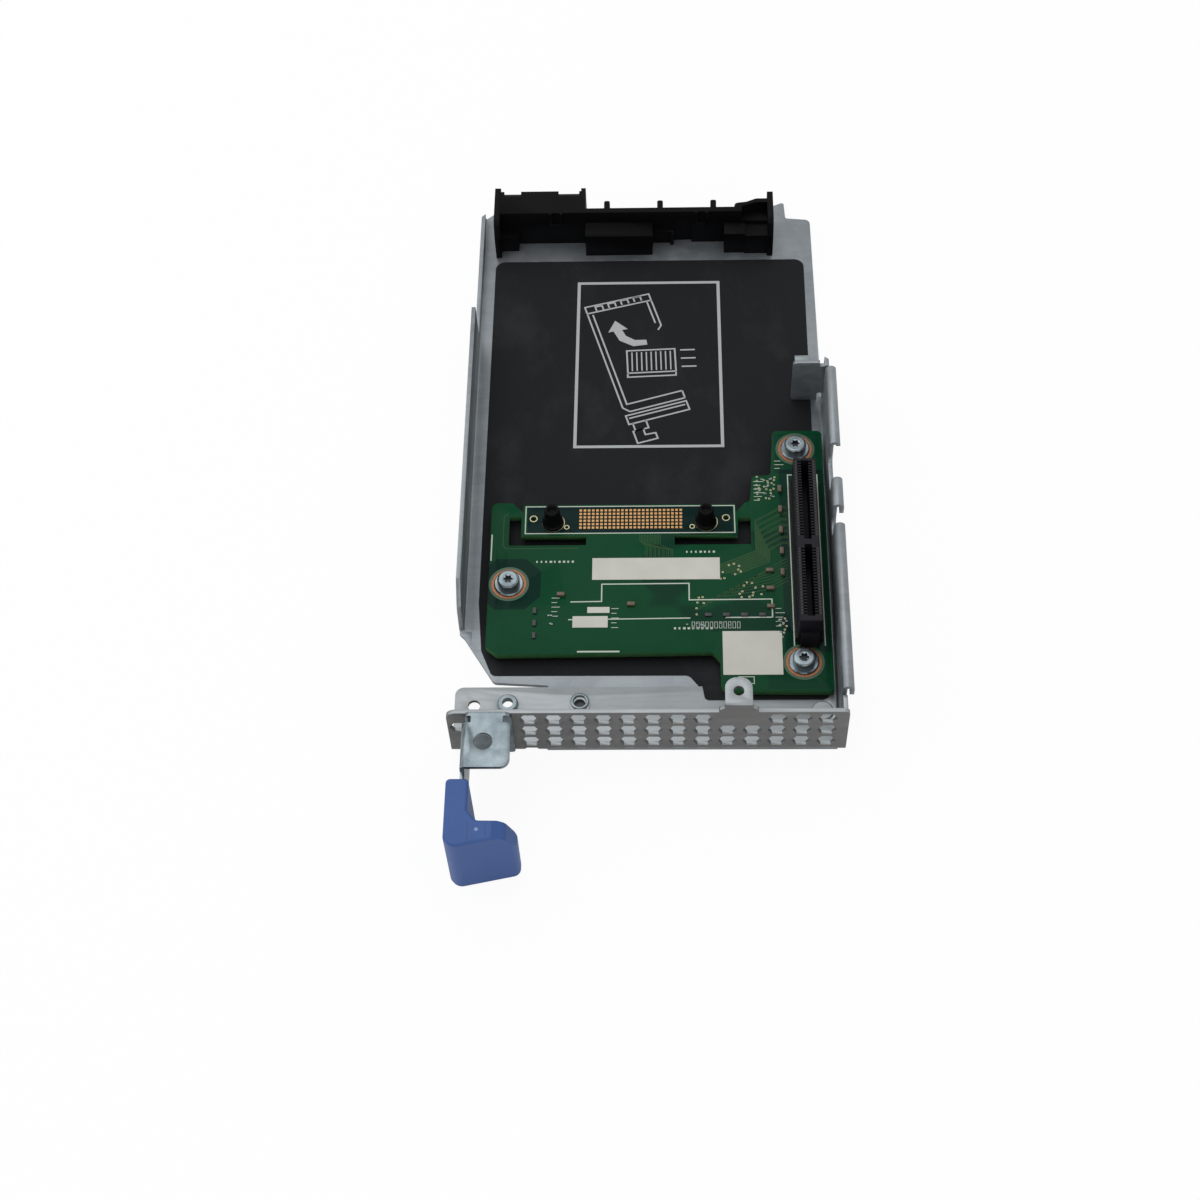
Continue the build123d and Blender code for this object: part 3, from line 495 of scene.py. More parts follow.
def ribbon(bm, points, width, z, thickness=INK, closed=False):
    """A printed line: a flat mitred ribbon along the points, with a little thickness."""
    count = len(points)
    flat = [Vector((p[0], p[1])) for p in points]
    left, right = [], []
    for i, here in enumerate(flat):
        before = flat[i - 1] if (i or closed) else None
        after = flat[(i + 1) % count] if (i < count - 1 or closed) else None
        ahead = (after - here).normalized() if after is not None else (here - before).normalized()
        behind = (here - before).normalized() if before is not None else ahead
        middle = (ahead + behind)
        middle = middle.normalized() if middle.length > 1e-6 else ahead
        normal = Vector((-middle.y, middle.x))
        reach = width / 2 / max(0.35, normal.dot(Vector((-ahead.y, ahead.x))))
        left.append(here + normal * reach)
        right.append(here - normal * reach)
    rows = []
    for a, b in zip(left, right):
        rows.append(
            [
                bm.verts.new(spot(a.x, a.y, z + thickness)),
                bm.verts.new(spot(b.x, b.y, z + thickness)),
                bm.verts.new(spot(b.x, b.y, z)),
                bm.verts.new(spot(a.x, a.y, z)),
            ]
        )
    sleeve(bm, rows, closed)
    if not closed:
        bm.faces.new(rows[0])
        bm.faces.new(reversed(rows[-1]))


def patch(bm, points, z, thickness=INK):
    """A flat filled outline with a little thickness."""
    top = [bm.verts.new(spot(x, y, z + thickness)) for x, y in points]
    low = [bm.verts.new(spot(x, y, z)) for x, y in points]
    bm.faces.new(top)
    bm.faces.new(reversed(low))
    count = len(points)
    for i in range(count):
        bm.faces.new((top[i], low[i], low[(i + 1) % count], top[(i + 1) % count]))


def ring(bm, x, y, inner, outer, z, thickness=INK, sides=28):
    """A flat round ring."""
    rows = []
    for i in range(sides):
        a = math.tau * i / sides
        c, s = math.cos(a), math.sin(a)
        rows.append(
            [
                bm.verts.new(spot(x + c * inner, y + s * inner, z + thickness)),
                bm.verts.new(spot(x + c * outer, y + s * outer, z + thickness)),
                bm.verts.new(spot(x + c * outer, y + s * outer, z)),
                bm.verts.new(spot(x + c * inner, y + s * inner, z)),
            ]
        )
    sleeve(bm, rows)


def disc(bm, x, y, radius, z, thickness=INK, sides=20):
    """A flat round spot."""
    points = [
        (x + math.cos(math.tau * i / sides) * radius, y + math.sin(math.tau * i / sides) * radius)
        for i in range(sides)
    ]
    patch(bm, points, z, thickness)


def brick(bm, x0, x1, y0, y1, z0, z1, soft):
    """A small block with its upper edges eased."""
    loops = []
    for inset, z in ((0.0, z0), (0.0, z1 - soft), (soft, z1)):
        corners = [
            (x0 + inset, y0 + inset),
            (x1 - inset, y0 + inset),
            (x1 - inset, y1 - inset),
            (x0 + inset, y1 - inset),
        ]
        loops.append([bm.verts.new(spot(x, y, z)) for x, y in corners])
    for low, high in zip(loops, loops[1:]):
        for k in range(4):
            bm.faces.new((low[k], low[(k + 1) % 4], high[(k + 1) % 4], high[k]))
    bm.faces.new(reversed(loops[0]))
    bm.faces.new(loops[-1])


def turned(profile, x, y, base, name, closed=False, sides=48):
    """A turned shape from radius and height pairs: capped at both ends, or closed into a ring."""
    bm = bmesh.new()
    rows = []
    for radius, height in profile:
        rows.append([
            bm.verts.new(spot(
                x + math.cos(math.tau * k / sides) * radius,
                y + math.sin(math.tau * k / sides) * radius,
                base + height,
            ))
            for k in range(sides)
        ])
    pairs = list(zip(rows, rows[1:]))
    if closed:
        pairs.append((rows[-1], rows[0]))
    else:
        bm.faces.new(rows[-1])
        bm.faces.new(list(reversed(rows[0])))
    for low, high in pairs:
        for k in range(sides):
            side = bm.faces.new((low[k], low[(k + 1) % sides], high[(k + 1) % sides], high[k]))
            side.smooth = True
    return written(bm, name)


def written(bm, name):
    """Turns the collected faces into a mesh with outward normals."""
    bmesh.ops.recalc_face_normals(bm, faces=bm.faces[:])
    mesh = bpy.data.meshes.new(name)
    bm.to_mesh(mesh)
    bm.free()
    return mesh


def dress(node, material, soften_mm=0.0):
    """Gives a CAD node its finish, and eases its edges or, at 0, keeps them crisp."""
    item = NODES[node]
    item.data.materials.clear()
    item.data.materials.append(material)
    if soften_mm:
        weld = item.modifiers.new("weld", "WELD")
        weld.merge_threshold = WELD_REACH
        bevel = item.modifiers.new("ease", "BEVEL")
        bevel.width = soften_mm / 1000
        bevel.segments = 2
        bevel.limit_method = "ANGLE"
        bevel.angle_limit = EASE_ANGLE
        bevel.harden_normals = True
        bevel.use_clamp_overlap = True
    for polygon in item.data.polygons:
        polygon.use_smooth = True
    if not soften_mm:
        item.modifiers.new("crisp", "EDGE_SPLIT").split_angle = SPLIT_ANGLE
    return item


def looks():
    return bpy.context.scene.riser_looks


# ---- settings ----


def shade(label, text, default):
    """A 0 to 255 colour setting."""
    return FloatVectorProperty(
        name=label, description=text, size=3, default=default, min=0, max=255
    )


class RiserLooks(bpy.types.PropertyGroup):
    tray: shade("Tray steel", "Pale tone of the tray", (146, 152, 156))
    tray_dark: shade("Tray steel, dull", "Dull tone of the tray", (104, 110, 115))
    vent: shade("Vented plate", "Pale tone of the upright vented plate", (108, 109, 107))
    vent_dark: shade("Vented plate, dull", "Dull tone of the upright vented plate", (86, 87, 86))
    film: shade("Film", "Insulating film", (23, 24, 26))
    moulding: shade("Black moulding", "Card guide and posts", (4, 4, 5))
    mask_green: shade("Board green", "Solder mask over copper", (4, 58, 33))
    mask_dark: shade("Board, bare", "Solder mask where no copper lies under it", (3, 31, 29))
    trace: shade("Copper runs", "Runs seen through the mask", (44, 76, 48))
    slot: shade("Slot moulding", "Card slot", (20, 19, 25))
    grip: shade("Grip", "Blue of the grip", (64, 94, 152))
    grip_dark: shade("Grip, rubbed", "Duller blue of the grip", (52, 79, 134))


def length(label, text, default, low, high):
    """A setting in millimetres."""
    return FloatProperty(name=label, description=text + ", mm", default=default, min=low, max=high)


class RiserSizes(bpy.types.PropertyGroup):
    ink_line: length("Board line", "Width of the board's printed lines", 0.26, 0.1, 1.0)
    film_line: length("Film line", "Width of the film's printed frame", 0.8, 0.2, 2.0)
    drawing_line: length("Drawing line", "Width of the pictogram's lines", 0.42, 0.1, 1.0)
    trace_width: length("Run width", "Width of the copper runs", 0.2, 0.05, 0.6)
    vias_per_ring: IntProperty(
        name="Ring vias", description="Small plated holes in each screw ring", default=10, min=4, max=24
    )
    edge_ease: length("Edge ease", "Rounding of sheet edges", 0.12, 0.0, 0.5)


# ---- operators ----


class DressTray(bpy.types.Operator):
    """Finishes the folded tray"""

    bl_idname = "riser.dress_tray"
    bl_label = "Tray"

    def execute(self, context):
        dress("tray", tray_steel(looks()), context.scene.riser_sizes.edge_ease)
        return {"FINISHED"}


class DressVent(bpy.types.Operator):
    """Finishes the vented end plate, its nut and its rivet, and adds the flange's eyelet"""

    bl_idname = "riser.dress_vent"
    bl_label = "Vented end plate"

    def execute(self, context):
        dress("vent_bracket", vent_steel(looks()), context.scene.riser_sizes.edge_ease)
        dress("clinch_nut", bright_zinc("nut_zinc", 0.34))
        pale, dull = tone(150, 154, 156), tone(112, 116, 118)
        dress("flange_rivet", sheet_steel("rivet_steel", pale, dull, 0.4, 0.6, 0.1))
        add_eyelet(bright_zinc("eyelet_zinc", 0.3))
        return {"FINISHED"}


def add_eyelet(material):
    """The crown of the eyelet on the flange's middle hole, with a dark disc down its bore as painted shade.
    """
    plate = NODES["vent_bracket"]
    points = [plate.matrix_world @ v.co * 1000 for v in plate.data.vertices]
    middle_x, middle_y = EYELET_SPOT[0], EYELET_SPOT[1] - FRAME_SHIFT_MM
    rim = [p for p in points if math.hypot(p.x - middle_x, p.y - middle_y) < 2.2]
    x = (min(p.x for p in rim) + max(p.x for p in rim)) / 2
    y = (min(p.y for p in rim) + max(p.y for p in rim)) / 2 + FRAME_SHIFT_MM
    top = max(p.z for p in rim)
    crown = turned(EYELET_PROFILE, x, y, top, "flange_eyelet", closed=True)
    finish_piece("flange_eyelet", crown, material)
    # Painted shade: a dark disc inside the eyelet's bore.
    dark = ink_finish("painted_bore_shade", tone(40, 46, 52), 0.5)
    drawn("eyelet_bore_shade", dark, "bright_plate", disc, x, y, 1.3, top - 0.9, 0.03, 28)


class DressFilm(bpy.types.Operator):
    """Finishes the insulating film and prints a plain fitting picture on it"""

    bl_idname = "riser.dress_film"
    bl_label = "Insulating film"

    def execute(self, context):
        sizes = context.scene.riser_sizes
        dress("insulator_sheet", film_black(looks()))
        ink = ink_finish("film_ink", tone(172, 175, 176))
        corners = [(-18.2, 85.6), (18.3, 85.6), (18.0, 138.4), (-18.0, 138.4)]
        line = sizes.film_line
        drawn("film_frame", ink, "white_label", ribbon, corners, line, FILM_TOP, INK, True)
        drawn("film_picture", ink, "white_label", draw_picture, sizes.drawing_line)
        return {"FINISHED"}


def draw_picture(bm, line):
    """A plain picture of a card sliding into a tray: tray outline, finned card and arrow."""
    lean = math.radians(17)
    ox, oy = -2.0, 112.5

    def at(u, v):
        c, s = math.cos(lean), math.sin(lean)
        return (ox + u * c - v * s, oy + u * s + v * c)

    def stroke(points, closed=False, width=None):
        ribbon(bm, [at(u, v) for u, v in points], width or line, FILM_TOP, closed=closed)

    # Tray: two walls, floor edge and end plate.
    stroke([(-8.6, 19.0), (-8.6, -13.0), (-7.2, -14.6), (7.2, -14.6)])
    stroke([(-7.3, 18.2), (-7.3, -12.2), (7.2, -12.2)])
    stroke([(7.2, -14.6), (7.2, -12.2)])
    stroke([(7.2, 18.4), (7.2, 10.8)])
    stroke([(8.4, 18.4), (8.4, 9.6), (7.2, 8.4)])
    # Guide at the far end.
    stroke([(-8.6, 19.0), (8.4, 18.4), (8.4, 20.6), (-8.6, 21.2)], closed=True)
    for k in range(4):
        u = -6.0 + 3.4 * k
        stroke([(u, 19.2), (u, 20.6), (u + 1.8, 20.5), (u + 1.8, 19.1)])
    # End plate with a grip below it.
    stroke([(-8.6, -15.6), (7.2, -15.6), (7.2, -18.4), (-8.6, -18.4)], closed=True)
    stroke([(-8.0, -16.6), (6.6, -16.6)])
    stroke([(-7.6, -18.4), (-7.6, -20.8), (-4.2, -20.8), (-4.2, -18.4)])
    grip = [(-8.2, -20.8), (-8.2, -24.6), (-3.0, -24.6), (-3.0, -22.8), (-5.6, -22.6), (-5.6, -20.8)]
    stroke(grip, closed=True)
    # Card with its fins, coming in from the right.
    card = [(-2.4, 4.2), (9.4, 1.2), (7.6, -5.8), (-4.2, -2.8)]
    stroke(card, closed=True)
    back_left, back_right, front_right, front_left = card

    def between(start, end, t):
        return (start[0] + (end[0] - start[0]) * t, start[1] + (end[1] - start[1]) * t)

    for k in range(1, 10):
        top = between(back_left, back_right, k / 10)
        low = between(front_left, front_right, k / 10)
        stroke([(top[0] - 0.1, top[1] - 0.6), (low[0] + 0.1, low[1] + 0.6)], width=line * 0.8)
    stroke([(-4.2, -2.8), (-4.6, -4.0), (7.2, -7.0), (7.6, -5.8)])
    # Solid bent arrow.
    arrow = (
        (3.4, 6.2), (0.6, 7.0), (-1.2, 9.0), (-1.6, 11.2), (-0.1, 11.0), (-2.4, 14.6),
        (-5.2, 11.4), (-3.8, 11.4), (-3.2, 8.0), (-0.4, 5.2), (3.2, 4.6),
    )
    patch(bm, [at(u, v) for u, v in arrow], FILM_TOP)
    # Three short lines beside the card, for its way in.
    stroke([(10.6, 0.4), (14.2, -0.6)])
    stroke([(10.0, -2.2), (13.6, -3.2)])
    stroke([(9.4, -4.8), (13.0, -5.8)])


class DressGuide(bpy.types.Operator):
    """Finishes the card guide and the two alignment posts"""

    bl_idname = "riser.dress_guide"
    bl_label = "Card guide and posts"

    def execute(self, context):
        dress("card_guide", moulding_black("guide_black", looks()), 0.15)
        posts = moulding_black("post_black", looks())
        for name, (x, y) in POST_SPOTS.items():
            mesh = turned(POST_PROFILE, x, y, BOARD_TOP, "alignment_post_" + name)
            post = finish_piece("alignment_post_" + name, mesh, posts)
            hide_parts("guide_post_" + name)
        return {"FINISHED"}


class DressBoard(bpy.types.Operator):
    """Finishes the riser board and prints its lines, runs and vias"""

    bl_idname = "riser.dress_board"
    bl_label = "Riser board"

    def execute(self, context):
        sizes = context.scene.riser_sizes
        dress("riser_board", solder_mask(looks()), 0.1)
        ink = ink_finish("board_ink", tone(190, 198, 186))
        drawn("board_printing", ink, "white_label", print_lines, sizes.ink_line)
        drawn("copper_runs", trace_finish(looks()), "board_green", lay_runs, sizes.trace_width)
        tin = warm_metal("via_tin", tone(176, 170, 140), tone(120, 116, 92), 0.35)
        drawn("board_vias", tin, "gold", lay_vias)
        return {"FINISHED"}


def print_lines(bm, line):
    """White printing: strip outline, slot outline, stepped box and small marks."""
    z = BOARD_TOP
    ribbon(bm, [(-29.4, 57.7), (20.7, 57.7), (20.6, 65.5), (-29.4, 65.5)], line, z, closed=True)
    ribbon(bm, [(33.7, 26.0), (33.7, 74.4), (40.8, 74.4), (40.8, 26.0)], line, z)
    box = [(-18.2, 38.3), (-10.9, 38.4), (-10.9, 43.2), (9.6, 43.3)]
    box += [(9.6, 38.7), (28.9, 38.8), (28.9, 33.7)]
    ribbon(bm, box, line * 1.15, z)
    ribbon(bm, [(-18.6, 33.4), (9.8, 33.7)], line * 1.1, z)
    ribbon(bm, [(18.0, 33.8), (28.9, 33.8)], line * 1.1, z)
    ribbon(bm, [(-37.3, 50.0), (-37.3, 57.5)], line * 1.2, z)
    ribbon(bm, [(-16.4, 24.7), (-6.6, 24.7)], line * 1.6, z)
    ribbon(bm, [(20.7, 16.0), (24.2, 16.0), (24.2, 17.8), (20.7, 17.8)], line * 0.7, z, closed=True)
    rng = random.Random(7)
    # Rows of short reference ticks beside the small parts.
    columns = (
        (-22.6, 34.4, 5, 1.25),
        (-8.6, 31.2, 5, 1.3),
        (29.6, 31.4, 5, 1.2),
        (25.4, 67.0, 6, 1.1),
        (30.6, 76.4, 3, 1.1),
    )
    for x0, y0, count, pitch in columns:
        for k in range(count):
            y = y0 + pitch * k
            width = rng.uniform(1.2, 2.4)
            ribbon(bm, [(x0, y), (x0 + width, y)], 0.16, z)
    for x0, y0, count in ((-26.5, 49.6, 9), (9.0, 52.2, 7), (6.0, 30.9, 9)):
        for k in range(count):
            x = x0 + 1.05 * k
            ribbon(bm, [(x, y0), (x + rng.uniform(0.3, 0.7), y0)], 0.55, z)
    for k in range(11):
        x = 10.2 + 1.05 * k
        ribbon(bm, [(x, 30.9), (x + 0.62, 30.9), (x + 0.62, 32.6), (x, 32.6)], 0.11, z, closed=True)


def lay_runs(bm, width):
    """Bundles of copper runs from the slot, across the board and down towards the grid."""
    z = BOARD_TOP
    thin = 0.012
    # From the slot to a column right of the strip, down past the board's cut-out, then away.
    for k in range(7):
        for pair in range(2):
            y = 65.0 - 1.7 * k - 0.4 * pair
            column = 25.5 + 0.5 * k + 0.22 * pair
            turn = 52.4 - 0.5 * k - 0.2 * pair
            end = 12.5 + 1.4 * k
            points = [
                (33.2, y),
                (31.8, y),
                (column, y - (31.8 - column) * 0.62),
                (column, turn),
                (end, turn - (column - end) * 0.45),
            ]
            ribbon(bm, points, width, z, thin)
    for k in range(7):
        x = -0.6 + 1.0 * k
        for pair in range(2):
            xx = x + 0.38 * pair
            bend = 1.4 + 0.25 * k
            low = 0.2 * k
            points = [(xx - bend, 57.2), (xx - bend, 55.4 - low), (xx, 54.0 - low), (xx, 50.8)]
            ribbon(bm, points, width * 0.8, z, thin)
    for k in range(8):
        start = 22.0 - 1.5 * k
        y0 = 43.8 - 0.9 * k
        points = [(32.8, y0 + 6.4), (29.2, y0 + 4.2), (start + 3.6, y0 + 1.6), (start, y0 - 1.6)]
        ribbon(bm, points, width, z, thin)
    edge = [(-16.6, 53.4), (-33.8, 53.4), (-34.6, 54.2), (-34.6, 62.6), (-33.6, 63.6)]
    ribbon(bm, edge, width * 1.1, z, thin)


def lay_vias(bm):
    """Tinned vias in clusters, each a small ring."""
    rng = random.Random(11)
    z = BOARD_TOP
    clusters = (
        (28.2, 70.6, 2.4, 3.4, 22),
        (18.5, 46.6, 3.6, 2.4, 14),
        (24.0, 41.6, 3.0, 2.4, 12),
        (31.4, 31.0, 0.9, 2.6, 8),
        (12.0, 36.8, 1.2, 3.2, 6),
    )
    for cx, cy, rx, ry, count in clusters:
        placed = []
        for _ in range(count * 12):
            x = cx + rng.uniform(-rx, rx)
            y = cy + rng.uniform(-ry, ry)
            if all((x - a) ** 2 + (y - b) ** 2 > 0.62 for a, b in placed):
                placed.append((x, y))
            if len(placed) == count:
                break
        for x, y in placed:
            ring(bm, x, y, 0.13, 0.27, z, 0.02, 12)
    strip_holes = ((-27.5, 62.0, 0.7), (18.6, 62.0, 0.7), (-19.5, 59.5, 0.4), (10.5, 59.5, 0.4))
    for x, y, r in strip_holes:
        ring(bm, x, y, r + 0.02, r + 0.26, z, 0.03, 28)
    for x in (-22.7, 13.9):
        ring(bm, x, 60.8, 2.5, 2.72, z, 0.02, 40)


class DressScrews(bpy.types.Operator):
    """Finishes the board screws, their rings and standoffs, and adds the lobed drive recesses, with painted
    shade at their floors and in the ring vias
    """

    bl_idname = "riser.dress_screws"
    bl_label = "Board screws"

    def execute(self, context):
        zinc = bright_zinc("screw_zinc", 0.2)
        copper = warm_metal("ring_copper", tone(150, 98, 66), tone(112, 72, 48), 0.4)
        halo = ink_finish("mask_halo", tone(22, 72, 42), 0.4)
        # Painted shade: a dark finish for the recess floors and the via holes, where the holes are deep.
        painted_depth_shade = ink_finish("painted_recess_shade", tone(34, 36, 38), 0.5)
        vias = context.scene.riser_sizes.vias_per_ring
        head, floor = BOARD_TOP + SCREW_HEAD, BOARD_TOP + 1.34
        for name, (x, y) in SCREW_SPOTS.items():
            dress("board_screw_" + name, zinc)
            dress("screw_plating_" + name, copper)
            dress("standoff_" + name, zinc)
            drawn("drive_socket_" + name, zinc, "bright_plate", drive_socket, x, y, head, 1.28, 0.55)
            drawn("drive_floor_shade_" + name, painted_depth_shade, "bright_plate", disc, x, y, 1.25, floor, 0.03, 24)
            drawn("mask_halo_" + name, halo, "board_green", ring, x, y, 4.14, 4.75, BOARD_TOP, 0.015, 48)
            drawn("ring_vias_" + name, painted_depth_shade, "copper", dot_ring, x, y, vias)
        return {"FINISHED"}


def dot_ring(bm, x, y, count):
    """Small plated holes round a screw's ring, shown as dark spots of painted shade."""
    for k in range(count):
        a = math.tau * (k + 0.5) / count
        disc(bm, x + math.cos(a) * 3.82, y + math.sin(a) * 3.82, 0.11, BOARD_TOP + 0.05, 0.006, 10)


def drive_socket(bm, x, y, z, outer, depth):
    """A six-lobed recess: a collar that fills the screw's round recess around a star."""
    sides = 72
    rows = []
    for i in range(sides):
        a = math.tau * i / sides
        star = 0.92 + 0.17 * math.cos(6 * a)
        c, s = math.cos(a), math.sin(a)
        rows.append(
            [
                bm.verts.new(spot(x + c * outer, y + s * outer, z - 0.08)),
                bm.verts.new(spot(x + c * star, y + s * star, z - 0.14)),
                bm.verts.new(spot(x + c * star * 0.96, y + s * star * 0.96, z - depth - 0.5)),
                bm.verts.new(spot(x + c * outer, y + s * outer, z - depth - 0.5)),
            ]
        )
    sleeve(bm, rows)


class DressContacts(bpy.types.Operator):
    """Finishes the contact grid and the card slot, and marks the slot's top face with painted shade"""

    bl_idname = "riser.dress_contacts"
    bl_label = "Contact grid and slot"

    def execute(self, context):
        dress("contact_pads", warm_metal("pad_gold", tone(178, 140, 92), tone(140, 100, 62), 0.32))
        dress("slot_housing", slot_moulding(looks()))
        dress("slot_contacts", warm_metal("contact_bronze", tone(150, 92, 66), tone(84, 50, 38), 0.36))
        # Painted shade: dark marks for the openings between the slot's teeth.
        drawn("slot_comb_shade", ink_finish("painted_comb_shade", tone(9, 9, 11)), "slot_plastic", comb_slot)
        return {"FINISHED"}


def comb_slot(bm):
    """Dark marks on the slot's top face, on both sides of every contact pair: painted shade for the openings
    between its teeth.
    """
    for first, count in ((28.4, 23), (50.0, 27)):
        for k in range(count):
            y = first + SLOT_PITCH * k
            for side in (-1, 1):
                near, far = sorted((SLOT_X + side * 1.8, SLOT_X + side * 2.35))
                corners = [(near, y - 0.2), (far, y - 0.2), (far, y + 0.2), (near, y + 0.2)]
                patch(bm, corners, SLOT_TOP, 0.012)


class DressLabels(bpy.types.Operator):
    """Finishes the plain labels"""

    bl_idname = "riser.dress_labels"
    bl_label = "Labels"

    def execute(self, context):
        paper = paper_label()
        for node in ("block_label", "square_label", "small_labels"):
            dress(node, paper)
        return {"FINISHED"}


class DressChips(bpy.types.Operator):
    """Finishes the small parts on the board and adds tiny tinned ones"""

    bl_idname = "riser.dress_chips"
    bl_label = "Small board parts"

    def execute(self, context):
        dress("chip_capacitors", ceramic("capacitor_tan", tone(98, 84, 64), tone(70, 60, 48)), 0.06)
        dress("chip_resistors", ceramic("resistor_black", tone(38, 38, 42), tone(24, 24, 28)), 0.05)
        tin = bright_zinc("chip_tin", 0.3)
        drawn("tiny_parts", tin, "bright_plate", scatter_parts)
        return {"FINISHED"}


def scatter_parts(bm):
    """Tiny tinned parts, placed by seeded chance inside four areas of the board."""
    rng = random.Random(5)
    z = BOARD_TOP
    # Each area has a centre, a half width, a half depth and a count.
    areas = (
        (28.4, 70.4, 2.2, 3.2, 12),
        (31.2, 31.0, 0.9, 2.2, 6),
        (14.6, 31.7, 5.6, 0.4, 8),
        (-23.0, 34.6, 0.6, 2.6, 4),
    )
    for cx, cy, rx, ry, count in areas:
        for _ in range(count):
            x = cx + rng.uniform(-rx, rx)
            y = cy + rng.uniform(-ry, ry)
            brick(bm, x - 0.28, x + 0.28, y - 0.18, y + 0.18, z, z + 0.28, 0.05)


class DressHandle(bpy.types.Operator):
    """Finishes the bright bracket and the blue grip, and draws the grip's thin joint lines"""

    bl_idname = "riser.dress_handle"
    bl_label = "Bracket and grip"

    def execute(self, context):
        dress("handle_bracket", bright_zinc("bracket_zinc", 0.24), 0.12)
        grip = dress("handle_grip", grip_blue(looks()))
        top = max((grip.matrix_world @ v.co).z for v in grip.data.vertices) * 1000
        joint = ink_finish("joint_blue", tone(36, 56, 104))
        drawn("grip_joint", joint, "blue_moulding", rule_grip, top)
        # Painted highlight: the small moulded circle on the grip is painted paler than the blue.
        mark_highlight = ink_finish("painted_mark_highlight", tone(128, 150, 190))
        drawn("grip_mark_highlight", mark_highlight, "blue_moulding", disc, -36.1, -28.7, 0.42, top, 0.01, 24)
        return {"FINISHED"}


def rule_grip(bm, top):
    """The two thin joint lines across the grip's foot."""
    ribbon(bm, [(-38.0, -27.2), (-38.0, -31.2)], 0.14, top, 0.01)
    ribbon(bm, [(-34.2, -27.2), (-34.2, -30.4)], 0.14, top, 0.01)


class SetStage(bpy.types.Operator):
    """Sets the pale floor, the soft light and the camera"""

    bl_idname = "riser.set_stage"
    bl_label = "Floor, light and camera"

    def execute(self, context):
        scene = context.scene
        make_floor()
        light_softly(scene)
        aim_camera(scene)
        scene.view_settings.view_transform = "Standard"
        return {"FINISHED"}


def make_floor():
    """A wide white floor that keeps the soft shadow under the part."""
    bm = bmesh.new()
    reach = 6.0
    corners = [(-reach, -reach), (reach, -reach), (reach, reach), (-reach, reach)]
    bm.faces.new([bm.verts.new((x, y, -0.0002)) for x, y in corners])
    floor = bpy.data.objects.new("floor", written(bm, "floor"))
    bpy.context.scene.collection.objects.link(floor)
    f = Finish("floor_white")
    f.set(Base_Color=(0.9, 0.9, 0.9, 1.0), Roughness=0.9, Specular_IOR_Level=0.1)
    seen = f.node("ShaderNodeLightPath", "Is Camera Ray", {}, {})
    glossy = f.node("ShaderNodeLightPath", "Is Glossy Ray", {}, {})
    glow = f.node("ShaderNodeEmission", 0, {}, {"Color": (1, 1, 1, 1), "Strength": 1.0})
    share = (seen * 0.93 + glossy * 0.2).sum("ADD", 0.0, clamp=True)
    mixed = f.node("ShaderNodeMixShader", 0, {}, {0: share, 1: Wire(f, f.shader.outputs[0]), 2: glow})
    f.tree.links.new(mixed.socket, f.output.inputs["Surface"])
    floor.data.materials.append(f.material)


def light_softly(scene):
    """A pale surround and three broad lamps: overhead, in front and at the side."""
    world = bpy.data.worlds.new("surround")
    scene.world = world
    world.use_nodes = True
    tree = world.node_tree
    tree.nodes.clear()
    output = tree.nodes.new("ShaderNodeOutputWorld")
    plain = tree.nodes.new("ShaderNodeBackground")
    plain.inputs["Color"].default_value = (1, 1, 1, 1)
    plain.inputs["Strength"].default_value = 0.55
    white = tree.nodes.new("ShaderNodeBackground")
    white.inputs["Color"].default_value = (1, 1, 1, 1)
    white.inputs["Strength"].default_value = 1.0
    path = tree.nodes.new("ShaderNodeLightPath")
    mix = tree.nodes.new("ShaderNodeMixShader")
    seen = None
    for ray in ("Is Camera Ray", "Is Glossy Ray", "Is Transmission Ray"):
        if seen is None:
            seen = path.outputs[ray]
            continue
        most = tree.nodes.new("ShaderNodeMath")
        most.operation = "MAXIMUM"
        tree.links.new(seen, most.inputs[0])
        tree.links.new(path.outputs[ray], most.inputs[1])
        seen = most.outputs[0]
    tree.links.new(seen, mix.inputs[0])
    tree.links.new(plain.outputs[0], mix.inputs[1])
    tree.links.new(white.outputs[0], mix.inputs[2])
    tree.links.new(mix.outputs[0], output.inputs["Surface"])
    for name, place, size, power in (
        ("overhead", (-0.25, 0.25, 0.9), 0.9, 4.2),
        ("front_fill", (0.15, -0.9, 0.55), 0.7, 1.6),
        ("side_fill", (-0.9, -0.1, 0.4), 0.6, 1.2),
    ):
        lamp = bpy.data.lights.new(name, "AREA")
        lamp.size = size
        lamp.energy = power
        holder = bpy.data.objects.new(name, lamp)
        holder.location = place
        holder.rotation_mode = "QUATERNION"
        holder.rotation_quaternion = (Vector((0, 0, 0)) - Vector(place)).to_track_quat("-Z", "Y")
        scene.collection.objects.link(holder)


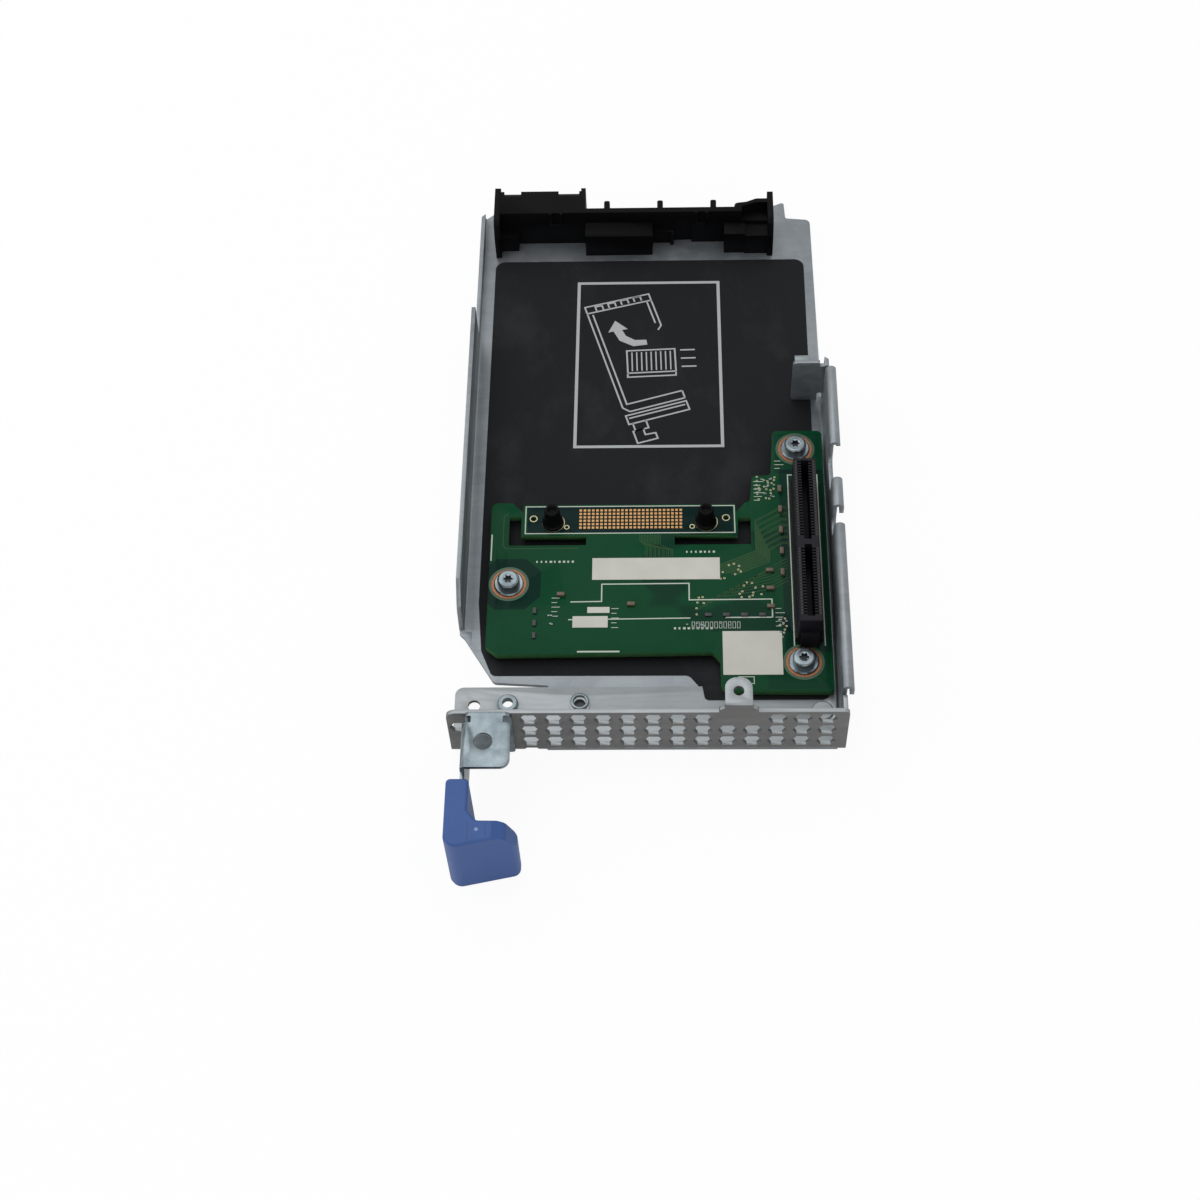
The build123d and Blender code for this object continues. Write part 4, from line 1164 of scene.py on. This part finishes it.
def aim_camera(scene):
    """The camera that the photograph was solved to: steep from the front, a little rolled."""
    pitch, yaw, roll = math.radians(57.466), math.radians(-3.501), math.radians(-3.279)
    focal_px, distance = 2140.869, 506.089
    target = Vector((-11.43, 41.51, 0.0))

    def turn(angle):
        c, s = math.cos(angle), math.sin(angle)
        return Matrix(((c, -s, 0), (s, c, 0), (0, 0, 1)))

    sp, cp = math.sin(pitch), math.cos(pitch)
    look = Matrix(((1, 0, 0), (0, -sp, -cp), (0, cp, -sp)))
    rows = turn(roll) @ look @ turn(yaw)
    place = target - rows.transposed() @ Vector((0, 0, distance))
    lens = bpy.data.cameras.new("photo_view")
    lens.sensor_width = SENSOR_MM
    lens.lens = focal_px * SENSOR_MM / PHOTO_SIDE_PX
    lens.clip_start = 0.02
    lens.clip_end = 20.0
    camera = bpy.data.objects.new("photo_view", lens)
    basis = Matrix((rows[0], -rows[1], -rows[2])).transposed().to_4x4()
    camera.matrix_world = Matrix.Translation(spot(*place)) @ basis
    scene.collection.objects.link(camera)
    scene.camera = camera


class RiserPanel(bpy.types.Panel):
    """Lists the steps that dress the riser cage bracket"""

    bl_idname = "VIEW3D_PT_riser_cage"
    bl_label = "Riser cage bracket"
    bl_space_type = "VIEW_3D"
    bl_region_type = "UI"
    bl_category = "Riser cage"

    def draw(self, context):
        column = self.layout.column()
        for step in STEPS:
            column.operator(step.bl_idname)
        for group in (context.scene.riser_looks, context.scene.riser_sizes):
            for name in group.bl_rna.properties.keys():
                if name not in ("rna_type", "name"):
                    column.prop(group, name)


STEPS = (
    SetStage,
    DressTray,
    DressVent,
    DressFilm,
    DressGuide,
    DressBoard,
    DressScrews,
    DressContacts,
    DressLabels,
    DressChips,
    DressHandle,
)
CLASSES = (RiserLooks, RiserSizes, *STEPS, RiserPanel)


def register():
    for cls in CLASSES:
        bpy.utils.register_class(cls)
    bpy.types.Scene.riser_looks = PointerProperty(type=RiserLooks)
    bpy.types.Scene.riser_sizes = PointerProperty(type=RiserSizes)


def unregister():
    del bpy.types.Scene.riser_sizes
    del bpy.types.Scene.riser_looks
    for cls in reversed(CLASSES):
        bpy.utils.unregister_class(cls)


def main():
    register()
    bpy.ops.riser.set_stage()
    bpy.ops.riser.dress_tray()
    bpy.ops.riser.dress_vent()
    bpy.ops.riser.dress_film()
    bpy.ops.riser.dress_guide()
    bpy.ops.riser.dress_board()
    bpy.ops.riser.dress_screws()
    bpy.ops.riser.dress_contacts()
    bpy.ops.riser.dress_labels()
    bpy.ops.riser.dress_chips()
    bpy.ops.riser.dress_handle()


if __name__ == "__main__":
    main()
